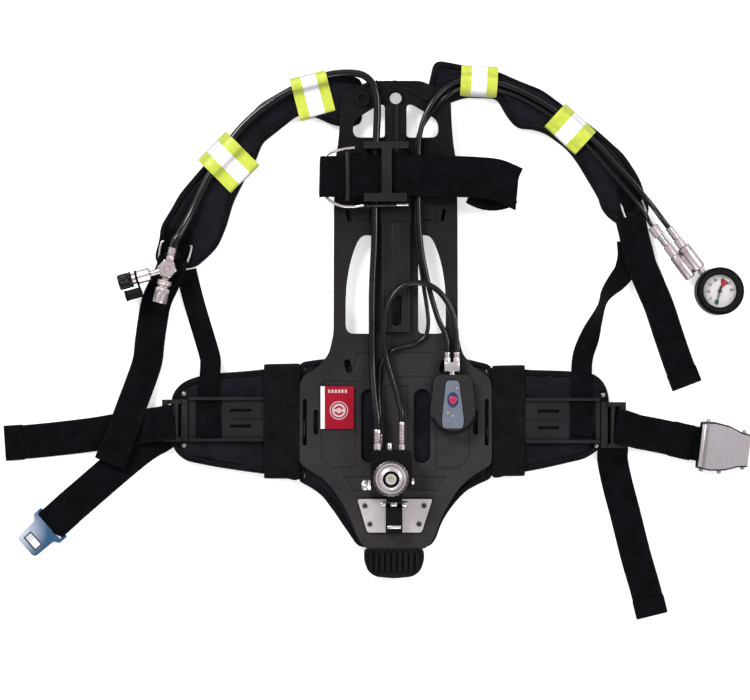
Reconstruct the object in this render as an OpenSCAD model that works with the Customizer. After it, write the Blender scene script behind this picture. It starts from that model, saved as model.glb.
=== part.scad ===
// Breathing apparatus, backplate and harness set, laid flat on its wearer's side.
// X runs along the waist belt, Y up the back, Z away from the wearer.

/* [Backplate] */
// Middle of the plate, sideways from the datum on the spine
plate_mid = 2; // [0:0.5:4]
// Half of the width of the neck of the plate
neck_half = 74; // [70:1:76]
// Half of the width of the hip shield
shield_half = 115; // [110:1:116]
// Thickness of the moulded sheet
plate_t = 4; // [3.5:0.5:4.5]
// Height of the spine channel above the sheet
spine_h = 9; // [7:0.5:9.5]

/* [Harness] */
// Thickness of the shoulder, waist and lumbar pads
pad_t = 12; // [10:0.5:12]
// Thickness of the webbing
web_t = 1.6; // [1.2:0.1:1.8]
// Width of the waist webbing
belt_w = 41; // [38:1:42]
// Width of the shoulder pull straps
pull_w = 32; // [30:1:36]
// Width of the anchor straps
anchor_w = 25; // [22:1:26]
// Width of the cylinder strap
cylinder_strap_w = 49; // [46:1:50]

/* [Reducer] */
// Diameter of the handwheel
wheel_d = 43; // [40:1:44]
// Diameter of the cylinder thread
thread_d = 22.9; // [22.5:0.1:23]
// Height of the reducer body
reducer_h = 28; // [26:1:28]

/* [Hoses] */
// Diameter of the medium-pressure hose
mp_d = 9; // [8:0.5:9]
// Diameter of the link hose
link_d = 7; // [6:0.5:7]
// Diameter of the gauge hose
gauge_hose_d = 6.5; // [5.5:0.5:6.5]
// Diameter of the whistle hose
whistle_d = 5; // [4.5:0.5:5]

/* [Gauge] */
// Diameter of the rubber gauge case
gauge_d = 57; // [54:1:58]
// Diameter of the dial
dial_d = 41; // [38:1:42]

/* [Hidden] */
$fn = 48;

// From the datum on the spine to the middle of the laid-out set
frame_shift = [20.6, -0.6, 0];
// Clearance between soft pieces, and between a shaft and its hole
gap = 0.3;
run = 0.06;
plate_z = pad_t + 0.5;
deck_z = plate_z + plate_t;
spine_z = deck_z + spine_h;

// ---- helpers ----

module in_frame() translate(frame_shift) children();
module on_plate() translate([plate_mid, 0, 0]) children();
module slab(outline, z0, z1) translate([0, 0, z0]) linear_extrude(z1 - z0) polygon(outline);
module both_sides() {
    children();
    mirror([1, 0, 0]) children();
}
module bar(from, to, z0, z1) {
    translate([from[0], from[1], z0]) cube([to[0] - from[0], to[1] - from[1], z1 - z0]);
}
module lying(p, angle) translate(p) rotate([0, 90, angle]) children();
module along(p, angle, d, l, sides = 48) lying(p, angle) cylinder(d = d, h = l, $fn = sides);
module slot(p, w, l, angle, z0, z1) {
    translate([p[0], p[1], z0]) rotate(angle) {
        translate([-w / 2, -l / 2 + w / 2, 0]) cube([w, l - w, z1 - z0]);
        for (s = [-1, 1]) translate([0, s * (l - w) / 2, 0]) cylinder(d = w, h = z1 - z0);
    }
}

function unit(v) = v / norm(v);
function mirrored(p) = [for (i = [len(p) - 1:-1:0]) [-p[i][0], p[i][1]]];
function heading(p, i) = unit(p[min(i + 1, len(p) - 1)] - p[max(i - 1, 0)]);
// Rounds one corner of an outline with a short curve
function corner(a, p, b, r, n) =
    let (s = p + min(r, 0.48 * norm(a - p)) * unit(a - p),
         e = p + min(r, 0.48 * norm(b - p)) * unit(b - p))
    [for (i = [0:n]) let (t = i / n) (1 - t) * (1 - t) * s + 2 * t * (1 - t) * p + t * t * e];
function eased(o, r, n = 3) =
    [for (i = [0:len(o) - 1])
        each corner(o[(i - 1 + len(o)) % len(o)], o[i], o[(i + 1) % len(o)], r, n)];
function skin(rings, sides) =
    [for (i = [0:rings - 2]) for (k = [0:sides - 1])
        let (a = i * sides + k, b = i * sides + (k + 1) % sides)
        each [[a, a + sides, b], [b, a + sides, b + sides]]];
function caps(rings, sides) =
    concat([[for (k = [0:sides - 1]) k]], [[for (k = [sides - 1:-1:0]) (rings - 1) * sides + k]]);

// Round hose through the points, one ring at each
module hose(points, d, sides = 10) {
    rings = len(points);
    body = [for (i = [0:rings - 1])
        let (t = heading(points, i), u = unit(cross([0, 0, 1], t)), v = cross(t, u))
        for (k = [0:sides - 1])
            points[i] + d / 2 * (cos(360 * k / sides) * u + sin(360 * k / sides) * v)];
    polyhedron(body, concat(skin(rings, sides), caps(rings, sides)));
}

// Flat webbing through the points; it is turned about its own line by the rolls
module webbing(points, width, thick, rolls = [], across = undef) {
    rings = len(points);
    body = [for (i = [0:rings - 1])
        let (t = heading(points, i),
             flat = is_undef(across) ? unit(cross([0, 0, 1], t)) : across,
             roll = len(rolls) > 0 ? rolls[i] : 0,
             u = cos(roll) * flat + sin(roll) * cross(t, flat),
             v = unit(cross(t, u)))
        for (c = [[-1, -1], [1, -1], [1, 1], [-1, 1]])
            points[i] + c[0] * width / 2 * u + c[1] * thick / 2 * v];
    polyhedron(body, concat(skin(rings, 4), caps(rings, 4)));
}

// ---- backplate ----

plate_half = [[30, 313], [44, 307], [60, 299], [66, 290], [67, 262], [69, 238],
    [neck_half - 1, 214], [neck_half, 160], [neck_half + 0.5, 10], [80, -14], [92, -29],
    [shield_half - 3, -42], [shield_half, -52], [shield_half, -146], [101, -155], [88, -163],
    [76, -175], [66, -190], [57, -206], [50, -222], [46, -235], [38, -245], [34, -248]];
upper_window = [[13, 245], [13, 284], [19, 285], [34, 276], [48, 267], [51, 260], [51, 250],
    [47, 245]];
lower_window = [[27, 10], [27, 128], [40, 128], [46, 120], [52, 104], [56, 88], [59, 68],
    [60, 48], [60, 16], [55, 10]];
side_panel = [[48, -46], [86, -46], [89, -50], [89, -138], [76, -151], [48, -151]];
groove = 0.9;
step_y = 142;
bracket_outline = [[-44, -188], [46, -188], [33, -228], [-32, -228]];
bracket_screws = [[-35, -196], [-29, -218], [36, -196], [30, -218]];
screw_d = 3.5;

// Grooved line round a panel
module grooved(outline, w) {
    slab(outline, deck_z - groove, deck_z + 1);
}
module plate_openings() {
    z0 = plate_z - 1;
    z1 = deck_z + 1;
    both_sides() {
        slab(eased(upper_window, 4), z0, z1);
        slab(eased(lower_window, 6), z0, z1);
        slot([31.5, -100.5], 20, 89, 0, z0, z1);
        slot([95.5, -96], 6, 30, 0, z0, z1);
        slot([109, -96], 5, 56, 0, z0, z1);
        slot([57, -29], 8, 17, -14, z0, z1);
        slot([57, 152], 4, 15, -12, z0, z1);
    }
    translate([0, 292, z0]) cylinder(d = 14, h = z1 - z0);
    slot([1, 38], 12, 38, 0, z0, spine_z + 1);
}
module plate_grooves() {
    both_sides() grooved(side_panel);
    grooved([[-14, -52], [15, -52], [15, -126], [-14, -126]]);
    grooved([[-62, -161], [60, -161], [49, -178], [-50, -178]]);
    grooved([[-46, -12], [44, -12], [58, -42], [-55, -42]]);
    bar([-68, 166], [68, 168], deck_z - groove, deck_z + 1);
    both_sides() bar([30, 145], [43, 147], deck_z - groove, deck_z + 1);
}
module spine() {
    difference() {
        union() {
            bar([-17, 12], [17, step_y], deck_z, spine_z - 1.5);
            bar([-18, step_y], [18, 222], deck_z, spine_z - 4);
            bar([-12, 222], [12, 284], deck_z, spine_z - 3);
            translate([0, 12, deck_z + 0.5]) rotate([-90, 0, 0]) cylinder(r = 8.5, h = step_y - 12);
        }
        for (s = [-1, 1]) translate([s * 12, 20, spine_z]) rotate([-90, 0, 0])
            cylinder(r = 2.5, h = step_y - 26);
        translate([0, 226, spine_z]) rotate([-90, 0, 0]) cylinder(r = 5.5, h = 70);
        slot([1, 38], 12, 38, 0, deck_z - 1, spine_z + 1);
    }
}
module backplate() color([0.23, 0.22, 0.23]) on_plate() {
    difference() {
        slab(eased(concat(plate_half, mirrored(plate_half)), 6), plate_z, deck_z);
        plate_openings();
        plate_grooves();
        for (p = bracket_screws) translate([p[0] - plate_mid, p[1], plate_z - 1])
            cylinder(d = screw_d + 0.2, h = plate_t + 2);
    }
    spine();
    difference() {
        translate([-40, 291, deck_z]) cylinder(r = 9, h = 3);
        translate([-40, 291, deck_z - 1]) cylinder(r = 5, h = 5);
    }
    for (s = [0, 1]) slot([25 + 13 * s, 298 - 7 * s], 5, 17, 58, deck_z, deck_z + 3);
    translate([56, 232, deck_z]) cylinder(r = 3, h = 1.5);
}

module bumper_foot() color([0.09, 0.09, 0.1]) {
    half = [[36, -248.3], [36, -262], [31, -275], [22, -281], [0, -283]];
    outline = concat(half, mirrored([for (i = [0:3]) half[i]]));
    slab(eased(outline, 5), 4, 19);
    for (i = [-4:4]) slot([i * 7, -263], 4, 24, 0, 19, 21.5);
}
module lumbar_pad() color([0.1, 0.1, 0.12]) {
    slab([[-113, -26], [-85, -22], [85, -22], [117, -29], [117, -163], [103, -168], [86, -177],
        [76, -187], [68, -197], [62, -206], [56, -216], [52, -226], [49, -235], [42, -245],
        [-42, -245], [-49, -235], [-55, -226], [-62, -216], [-68, -206], [-75, -197],
        [-82, -187], [-92, -178], [-109, -168], [-113, -166]], 0, pad_t);
}

// ---- cylinder strap, its keeper and its ring ----

strap_y = 197;
strap_z = 31;
keeper_x = -9;
module strap_keeper() color([0.2, 0.2, 0.21]) {
    top = strap_z + 3.5;
    bar([-36, 230], [17, 238], top, top + 4);
    bar([-36, 167], [15, 177], top, top + 4);
    bar([keeper_x - 6, 177], [keeper_x + 6, 230], top, top + 4);
    for (y = [230, 167]) {
        bar([-36, y], [-30, y + 4.5], deck_z, top + 1);
        bar([9, y], [15, y + 4.5], deck_z + (y > 200 ? 6 : 5), top + 1);
    }
}
cylinder_strap_line = [[-88.4, strap_y, 22], [-87.8, strap_y, 27.5], [-84.5, strap_y, 31.2],
    [-70, strap_y, 32],
    [-46, strap_y, 32], [-30, 198, strap_z], [14, 199, strap_z], [40, 198, 32],
    [75, 197, 31], [100, 196, 29], [120, 194, 30], [135, 188, 32.5],
    [147, 182.5, 31.5]];
cylinder_fold_line = [[72, 190, 20], [92, 188, 18], [112, 185, 19], [124, 184, 24]];
module cylinder_strap() color([0.07, 0.07, 0.08]) {
    webbing(cylinder_strap_line, cylinder_strap_w, 2.2);
    webbing(cylinder_fold_line, cylinder_strap_w, 2.2);
}
ring_line = [[-47, 232, 26], [-60, 230, 27], [-76, 226, 27], [-81, 221.5, 27],
    [-82, 214, 27], [-82, 180, 27], [-80, 172, 27], [-74, 167, 27], [-62, 162, 27],
    [-46, 161.5, 26], [-38, 162.5, 28], [-24, 163, 29.5], [17, 163.5, 29.5]];
module strap_ring() color([0.75, 0.75, 0.76]) {
    hose(ring_line, 3.6, 8);
}

// ---- reducer and its bracket ----

wheel_at = [-4, -161];
wheel_z = 50;
nose_r = 8;
module bracket_plate() color([0.78, 0.76, 0.77]) {
    difference() {
        slab(eased(bracket_outline, 3), deck_z, deck_z + 2.5);
        bar([-10, -229], [10, -191], deck_z - 1, deck_z + 4);
        for (p = bracket_screws) translate([p[0], p[1], deck_z - 1]) cylinder(d = screw_d + 0.2, h = 5);
    }
}
module bracket_fasteners() color([0.6, 0.58, 0.58]) {
    for (p = bracket_screws) translate([p[0], p[1], 0]) {
        translate([0, 0, deck_z + 2.5]) cylinder(d = 6, h = 1.6);
        translate([0, 0, plate_z]) cylinder(d = screw_d, h = plate_t + 2.5);
    }
    along([-16, -193, 34.5], 0, 6, 6);
    along([-4.5, -193, 34.5], 0, 7, 8);
    along([9, -193, 34.5], 0, 8, 7);
    along([-8, -220, 36.5], 0, 5, 16);
}
module bracket_block() color([0.08, 0.08, 0.09]) {
    difference() {
        union() {
            bar([-9.5, -228], [9.5, -191.3], deck_z, 34);
            bar([-9.5, -194], [9.5, -175], deck_z + 3, 34);
        }
        along([-17, -193, 34.5], 0, 8.4, 34);
        along([-9, -220, 36.5], 0, 5.4, 18);
    }
}
module name_plate() color([0.62, 0.12, 0.2]) {
    bar([-88, -104], [-48, -53], deck_z, deck_z + 1.2);
    translate([-66, -82, deck_z + 1.2]) difference() {
        cylinder(r = 11, h = 0.4);
        translate([0, 0, -1]) cylinder(r = 9.5, h = 3);
    }
}
module reducer_body() color([0.07, 0.07, 0.08]) {
    base = deck_z + 4;
    difference() {
        union() {
            slab([[-28, -132], [-24, -128], [17, -128], [21, -132], [21, -170], [16, -174.7],
                [-22, -174.7], [-28, -170]], base, base + reducer_h);
            translate([wheel_at[0], wheel_at[1], deck_z]) cylinder(r = 13, h = wheel_z - deck_z);
            translate([wheel_at[0], wheel_at[1], wheel_z]) cylinder(r = nose_r, h = 22);
            translate([wheel_at[0], wheel_at[1], wheel_z + 20.4]) cylinder(r = 9.4, h = 2);
        }
        translate([wheel_at[0], wheel_at[1], wheel_z + 18]) cylinder(r = 5, h = 6);
        for (p = port_places) along([p[0], p[1], p[2]], 90, p[3], 40);
    }
}
// Hose ports in the end face of the body: place and diameter of the hole
port_places = [[-20, -134, 35, 6], [-16.5, -134, 24, 4], [9, -134, 35, 5], [-5.5, -134, 33, 4]];
module inlet_filter() color([0.8, 0.62, 0.3]) {
    translate([wheel_at[0], wheel_at[1], wheel_z + 18]) cylinder(r = 4.9, h = 3);
}
module inlet_seal() color([0.12, 0.1, 0.1]) {
    translate([wheel_at[0], wheel_at[1], wheel_z + 22.4]) rotate_extrude()
        translate([7, 0.8]) circle(r = 0.8, $fn = 16);
}
module relief_valve() color([0.82, 0.82, 0.83]) {
    along([-28, -170, 34], 180, 14, 3, 6);
    along([-31, -170, 34], 180, 13, 7.5);
}
module reducer_plugs() color([0.8, 0.8, 0.8]) {
    along([21, -165.5, 34], 0, 9, 3.5, 6);
    along([-5.5, -133.9, 33], 90, 3.8, 6);
    along([-5.5, -127.9, 33], 90, 7, 8);
}
module handwheel() color([0.72, 0.7, 0.71]) {
    at = [wheel_at[0], wheel_at[1], wheel_z + 0.5];
    translate(at) difference() {
        union() {
            cylinder(d = wheel_d, h = 11);
            translate([0, 0, 11]) cylinder(d = wheel_d - 5, h = 1.5);
            cylinder(d = thread_d, h = 27);
        }
        translate([0, 0, -1]) cylinder(r = nose_r + run, h = 40);
        translate([0, 0, 19.7]) cylinder(r = 9.7, h = 20);
        for (a = [0:15:345]) rotate(a) translate([wheel_d / 2 + 0.6, 0, -1]) cylinder(r = 1.6, h = 14);
    }
}

// ---- hoses: their routes, laid out by hand ----

mp_line = [[-20, -103.9, 35], [-20, -92, 35], [-23, -70, 31], [-25, -48, 26], [-26, -26, 22],
    [-26, 0, 21.5], [-26, 28, 21.5], [-26, 56, 21.5], [-25, 84, 21.5], [-23.5, 112, 21.5],
    [-23, 140, 21.5], [-23, 168, 21.5], [-22, 196, 21.5], [-22, 224, 21.5], [-21, 250, 22],
    [-20, 274, 22.5], [-21, 294, 23], [-26, 309, 23], [-37, 319, 21.5], [-54, 322, 19.5],
    [-78, 320, 17.5], [-104, 311, 17], [-130, 298, 17], [-156, 281, 17], [-180, 260, 17],
    [-200, 235, 17], [-216, 208, 17], [-230, 182, 17], [-242, 156, 18], [-251, 138, 22],
    [-257, 127, 26.5], [-261, 121, 27.5], [-263.2, 112.4, 27.5]];
link_line = [[9, -94.9, 35], [9, -84, 35], [4, -64, 30], [-2, -45, 27.5], [-8, -24, 27],
    [-12, -4, 28.5], [-12, 16, 30.5], [-9, 36, 30.5], [-3, 52, 30.5], [7, 64, 30.5],
    [20, 70, 30.5], [34, 70, 30.5], [47, 65, 30.5], [58, 55, 30], [67, 40, 28], [72.5, 20, 26],
    [74.5, 0, 25], [74.5, -9.9, 25]];
gauge_hose_line = [[63.5, -9.9, 25], [63.5, 0, 25], [61, 10, 24], [54, 24, 23], [48, 42, 22], [43, 60, 22],
    [38.5, 80, 22.5], [34, 102, 23], [31, 126, 23.8], [29.5, 150, 24.2], [29, 176, 24.2],
    [29, 202, 24.2], [29, 226, 24.2], [30.5, 246, 25], [35, 264, 25], [42, 280, 24.8],
    [52, 294, 23], [64, 305, 19.5], [78, 312, 17], [98, 313, 16], [120, 311, 16],
    [142, 304, 16], [164, 294, 16], [186, 281, 16], [208, 266, 16], [229, 250, 16],
    [248, 232, 16], [266, 212, 16.5], [281, 196, 18], [296, 178, 20], [309, 163, 19],
    [318, 152, 14], [324, 144.6, 11.5], [329.6, 137.3, 11.5]];
whistle_line = [[-16.5, -109.9, 24], [-16.5, -96, 24], [-18, -70, 20], [-18, -46, 19.3],
    [-15, -28, 19.3], [-6, -14, 19.3], [8, -6, 19.3], [24, -2, 19.3], [37, 6, 19.2],
    [41, 22, 18.8], [39, 44, 18], [35.5, 66, 18], [32, 90, 18.5], [28.5, 114, 19.1],
    [26.5, 138, 19.1], [26, 164, 19.1], [26, 196, 19.1], [26, 226, 19.1], [28, 242, 19.1],
    [31, 252, 18.6], [37, 263, 18.8], [45, 275, 19.2], [56, 288, 19.2], [68, 298, 19.2],
    [82, 305, 15.2],
    [104, 306, 15], [136, 299, 15], [162, 287, 15], [184, 274, 15], [206, 258, 15],
    [226, 241, 15], [246, 220, 15.3], [266, 197, 17], [282, 178, 20], [294, 162, 20.4],
    [302, 151.5, 18.5], [305.6, 144.9, 12.5], [308.3, 141.3, 11.5], [310.1, 138.9, 11.5]];
module mp_hose() color([0.06, 0.06, 0.07]) hose(mp_line, mp_d);
module link_hose() color([0.06, 0.06, 0.07]) hose(link_line, link_d);
module gauge_hose() color([0.06, 0.06, 0.07]) hose(gauge_hose_line, gauge_hose_d);
module whistle_hose() color([0.06, 0.06, 0.07]) hose(whistle_line, whistle_d);

// ---- alarm device ----

device_at = [70, -82];
device_top = deck_z + 14;
module device_case() color([0.17, 0.18, 0.18]) {
    difference() {
        union() {
            slab(eased([[47, -44], [53, -39], [87, -39], [93, -44], [96.5, -78], [43.5, -78]], 3),
                deck_z, device_top);
            translate([device_at[0], device_at[1], deck_z]) cylinder(r = 27, h = 14);
        }
        translate([70, -69, deck_z + 5]) cylinder(r = 4.6, h = 20);
    }
}
module device_label() color([0.62, 0.66, 0.74]) {
    outline = [[62, -46], [77, -46], [83, -92], [82, -103], [58, -103], [57, -92]];
    difference() {
        slab(eased(outline, 4), device_top, device_top + 1);
        translate([70, -69, device_top - 1]) cylinder(r = 5.9, h = 4);
        for (p = lamp_places) translate([p[0], p[1], device_top - 1]) cylinder(r = 1.8, h = 4);
    }
}
lamp_places = [[75, -55], [64, -84], [70, -88]];
module device_lamps() color([0.9, 0.85, 0.7]) {
    for (p = lamp_places) translate([p[0], p[1], device_top]) cylinder(r = 1.7, h = 1.4);
}
module device_tee() color([0.8, 0.8, 0.81]) {
    bar([60, -35], [78, -24], deck_z + 2, deck_z + 14);
    along([69, -35, 25], -90, 8, 4);
    for (x = [63.5, 74.5]) {
        along([x, -24, 25], 90, 9, 5, 6);
        along([x, -19, 25], 90, 8, 7);
    }
}
module device_button() color([0.7, 0.12, 0.2]) {
    translate([70, -69, device_top - 3]) {
        cylinder(r = 4.5, h = 4.2);
        translate([0, 0, 4.2]) cylinder(r = 5.5, h = 1.8);
    }
}

// ---- shoulder pads and what is on them ----

pad_left = [[-40, 316], [-78, 322], [-124, 306], [-160, 285], [-192, 251], [-229, 209],
    [-257, 176], [-268, 156], [-279, 138], [-280, 122], [-286, 104], [-284, 96], [-262, 90],
    [-239, 91], [-225, 103], [-213, 116], [-203, 140], [-194, 170], [-178, 202], [-166, 222],
    [-160, 240], [-136, 259], [-115, 275], [-90, 271], [-66, 262], [-40, 262]];
pad_right = [[42, 304], [50, 337], [79, 332], [125, 323], [178, 301], [242, 254], [274, 226],
    [293, 197], [302, 172], [306, 158], [296, 142], [280, 140], [266, 145], [254, 156],
    [247, 174], [236, 193], [222, 216], [208, 234], [184, 252], [168, 257], [149, 258],
    [137, 272], [125, 294], [79, 296], [68, 292], [44, 284]];
module shoulder_pad_left() color([0.1, 0.1, 0.12]) slab(eased(pad_left, 8), 0, pad_t);
module shoulder_pad_right() color([0.1, 0.1, 0.12]) slab(eased(pad_right, 8), 0, pad_t);

// A reflective band over a pad and the hoses on it, from its outer to its inner edge.
// The hoses lie between the distances in, measured from the outer edge.
module band(outer, inner, length, hoses, crest) {
    d = unit(inner - outer);
    span = norm(inner - outer);
    low = pad_t + gap + 0.9;
    edge = min(-1, hoses[0] - 3);
    steps = [[edge, crest - 4], [hoses[0], crest], [hoses[1], crest],
        [hoses[1] + 5, low], [span + 1, low]];
    webbing([for (s = steps) [outer[0] + d[0] * s[0], outer[1] + d[1] * s[0], s[1]]],
        length, 1.4, [], [-d[1], d[0], 0]);
}
module bands_left() color([0.75, 0.85, 0.3]) {
    band([-103, 317], [-92, 274], 44, [0, 13], 23);
    band([-217, 234], [-180, 197], 48, [5, 27], 23);
}
module bands_right() color([0.75, 0.85, 0.3]) {
    band([103, 329], [101, 296], 44, [11, 28], 21);
    band([223, 268], [200, 243], 50, [6, 24], 20.7);
}

slide_z = pad_t + 2;
module wire_loop(corners) {
    n = len(corners);
    line = eased([for (c = corners) [c[0], c[1], slide_z]], 4, 2);
    hose(concat(line, [line[0] + 0.2 * (line[len(line) - 1] - line[0])]), 3, 8);
}
module strap_slides() color([0.75, 0.75, 0.76]) {
    wire_loop([[-280, 121], [-283, 98], [-247, 94], [-242, 116]]);
    wire_loop([[270, 166], [280, 143], [304, 152], [296, 173]]);
}
pull_left_line = [[-264, 100, 17.2], [-266, 92, 16.9], [-269, 84, 13.5], [-276, 70, 8], [-286, 48, 4],
    [-291, 22, 3.5], [-294, 0, 3.5], [-297, -24, 3.5], [-306, -52, 7], [-314, -74, 11],
    [-322, -96, 11.5], [-332, -122, 10], [-342, -146, 8]];
pull_right_line = [[283, 150, 17.4], [284, 143, 17.4], [286, 136, 15],
    [290, 122, 7.5], [294, 108, 7], [298, 92, 7.5], [304, 78, 7], [311, 62, 4.5], [319, 44, 2], [331, 8, 2], [342, -24, 2],
    [348, -40, 2], [353, -53, 2]];
anchor_left_line = [[-250, 86.5, 7], [-247, 72, 2], [-241, 48, 1.2], [-231, 14, 1.2],
    [-222, -16, 2], [-220.5, -26, 7.5], [-220.5, -35, 13], [-221, -45, 13.6], [-222, -60, 13.4], [-222, -114, 13.4]];
anchor_right_line = [[281, 122, 1.2], [282, 104, 1.2], [278, 86, 2], [271, 76, 6],
    [263, 66, 9.4], [256, 57, 12.2], [250, 46, 13.3], [243, 28, 12.2], [236, 8, 7.6],
    [229, -12, 2.5], [226, -25, 7.5], [225, -33, 12.8], [225, -43, 13.6], [226, -60, 13.4], [226, -114, 13.4]];
anchor_right_rolls = [0, 0, 3, 20, 40, 60, 75, 60, 30, 5, 0, 0, 0, 0, 0];
module pull_strap_left() color([0.06, 0.06, 0.07]) webbing(pull_left_line, pull_w, web_t);
module pull_strap_right() color([0.06, 0.06, 0.07]) webbing(pull_right_line, pull_w, web_t);
module anchor_strap_left() color([0.06, 0.06, 0.07]) webbing(anchor_left_line, anchor_w, 1.4);
module anchor_strap_right() color([0.06, 0.06, 0.07]) {
    webbing(anchor_right_line, anchor_w, 1.4, anchor_right_rolls);
}

// ---- waist belt ----

waist_left = [[-113.3, -27], [-157, -35], [-209, -39], [-236, -43], [-254, -50], [-264, -62],
    [-266, -72], [-266, -118], [-262, -131], [-250, -141], [-212, -149], [-147, -158],
    [-113.3, -166]];
waist_right = [[117.3, -29], [160, -35], [211, -37], [238, -39], [248, -46], [254, -56],
    [257, -70], [257, -112], [252, -122], [242, -130], [229, -139], [184, -149], [139, -158],
    [117.3, -163]];
module waist_pad_left() color([0.1, 0.1, 0.12]) slab(waist_left, 0, pad_t);
module waist_pad_right() color([0.1, 0.1, 0.12]) slab(waist_right, 0, pad_t);

// A slotted wing; it runs from the plate at the inner x to the adjuster at the outer x
wing_base = pad_t + gap;
module wing(inner, rail, outer, top, bottom, window) {
    s = sign(outer - inner);
    difference() {
        union() {
            bar([min(inner, outer), bottom], [max(inner, outer), top], wing_base, wing_base + 2.5);
            for (y = [bottom, top - 3.5])
                bar([min(rail, outer), y], [max(rail, outer), y + 3.5], wing_base, wing_base + 6);
        }
        bar([min(window[0], window[1]), bottom - 1], [max(window[0], window[1]), top + 1],
            wing_base - 1, wing_base + 2.6);
        for (y = [top - 16, bottom + 18])
            slot([rail + s * 27, y], 4, 26, 90, wing_base - 1, wing_base + 4);
        bar([min(rail, rail + s * 38), (top + bottom) / 2 - 1],
            [max(rail, rail + s * 38), (top + bottom) / 2 + 1], wing_base + 1.8, wing_base + 4);
    }
}
module wing_left() color([0.15, 0.15, 0.16]) wing(-113.5, -157, -246, -66, -119, [-238, -206]);
module wing_right() color([0.15, 0.15, 0.16]) wing(117.5, 158, 247, -67, -121, [210, 242]);
module sleeves() color([0.08, 0.08, 0.1]) {
    sleeve_z = wing_base + 2.8;
    slab([[-156, -35], [-113, -26], [-113, -165], [-156, -156]], sleeve_z, sleeve_z + 1.6);
    slab([[118, -28], [157, -34], [157, -156], [118, -163]], sleeve_z, sleeve_z + 1.6);
}

// Adjuster frame at the end of a wing; the belt is wound on its round bar
module adjuster(x0, x1, bar_x, y0, y1) {
    z0 = wing_base;
    difference() {
        union() {
            bar([x0, y0], [x1, y1], z0, z0 + 4);
            for (y = [y0, y1 - 5]) bar([bar_x - 6, y], [bar_x + 6, y + 5], z0, z0 + 7.5);
        }
        bar([x0 + 8, y0 + 5.5], [x1 - 8, y1 - 5.5], z0 - 1, z0 + 5);
    }
    along([bar_x, y0 + 1, z0 + 5.5], 90, 6, y1 - y0 - 2);
}
module adjusters() color([0.1, 0.1, 0.11]) {
    adjuster(-278, -247, -261, -119, -69);
    adjuster(248, 278, 262, -127, -72);
}
rivets = [[-252, -62], [-252, -124], [251, -63.5], [243, -124.5]];
module wing_rivets() color([0.8, 0.8, 0.8]) {
    for (p = rivets) translate([p[0], p[1], pad_t]) {
        cylinder(r = 2.8, h = 1.5);
        translate([0, 0, 1.5]) cylinder(r = 2, h = 1);
    }
}

belt_left_line = [[-263, -95, 22.3], [-271, -96, 21], [-281, -98, 17.5], [-294, -100, 10],
    [-310, -103, 5.5], [-330, -106, 4], [-360, -111, 3], [-400, -116, 1.6], [-440, -120, 1.2],
    [-469, -122, 1.2]];
tongue_line = [[-278.5, -111, 6.5], [-284, -114.5, 4], [-294, -120, 2], [-310, -131, 1.2],
    [-340, -156, 1.2], [-370, -182, 2], [-394, -202, 4], [-407.5, -214.5, 6]];
belt_right_line = [[265, -100, 22.3], [272, -101, 21], [281, -104, 19], [294, -108, 11],
    [310, -111, 6], [334, -116, 4], [356, -121, 3.6], [386, -125, 3.6]];
tail_right_line = [[263, -130, 8], [263, -139, 4], [265, -152, 1.4], [271, -178, 1.2],
    [280, -212, 1.2], [291, -256, 1.2], [303, -298, 1.2], [311, -330, 1.2]];
module belt_tail_left() color([0.06, 0.06, 0.07]) webbing(belt_left_line, belt_w, web_t);
module tongue_strap() color([0.06, 0.06, 0.07]) webbing(tongue_line, belt_w - 4, web_t);
module belt_right() color([0.06, 0.06, 0.07]) webbing(belt_right_line, belt_w, web_t);
module belt_tail_right() color([0.06, 0.06, 0.07]) webbing(tail_right_line, belt_w - 4, web_t);

// ---- left coupling group ----

tee_at = [-270, 87, 27.5];
hose_side = 76;
upper_arm = 196;
lower_arm = 256;
core_r = 6.5;
socket_r = 5;
module tee_block() color([0.8, 0.78, 0.78]) {
    translate([tee_at[0], tee_at[1], tee_at[2] - 9]) rotate(-14) cylinder(r = 11.5, h = 18, $fn = 6);
}
module coupler(angle, start, nut, core_end, nut_d, socket_l) {
    translate(tee_at) rotate([0, 90, angle]) difference() {
        union() {
            translate([0, 0, 10]) cylinder(r = 4.5, h = start - 9);
            translate([0, 0, start]) cylinder(d = nut_d, h = nut, $fn = 24);
            translate([0, 0, start + nut]) cylinder(r = core_r, h = core_end - start - nut);
        }
        translate([0, 0, core_end - socket_l]) cylinder(r = socket_r, h = socket_l + 1);
    }
}
module coupler_bodies() color([0.8, 0.78, 0.78]) {
    coupler(upper_arm, 22, 15, 59, 16.5, 18);
    coupler(lower_arm, 14, 6, 40, 17, 18);
}
module coupler_sleeve(angle, start, length, d) {
    translate(tee_at) rotate([0, 90, angle]) difference() {
        translate([0, 0, start]) cylinder(d = d, h = length);
        translate([0, 0, start - 1]) cylinder(r = core_r + run, h = length + 2);
        for (a = [0:30:330]) rotate(a) translate([d / 2 + 0.4, 0, start + 2]) cylinder(r = 1.2, h = length);
    }
}
module sleeve_upper() color([0.06, 0.06, 0.07]) coupler_sleeve(upper_arm, 44, 16.5, 19);
module sleeve_lower() color([0.8, 0.8, 0.81]) coupler_sleeve(lower_arm, 24, 17.5, 17);
module dust_cap() color([0.06, 0.06, 0.07]) {
    translate(tee_at) rotate([0, 90, upper_arm]) {
        translate([0, 0, 37.2]) difference() {
            union() {
                cylinder(r = 9, h = 2.4);
                translate([-3, 8, 0]) cube([6, 9.5, 2.4]);
            }
            translate([0, 0, -1]) cylinder(r = core_r + 0.1, h = 5);
        }
        translate([0, 17.5, 37.2]) cylinder(r = 6.6, h = 20);
    }
}

// ---- right gauge group ----

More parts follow.
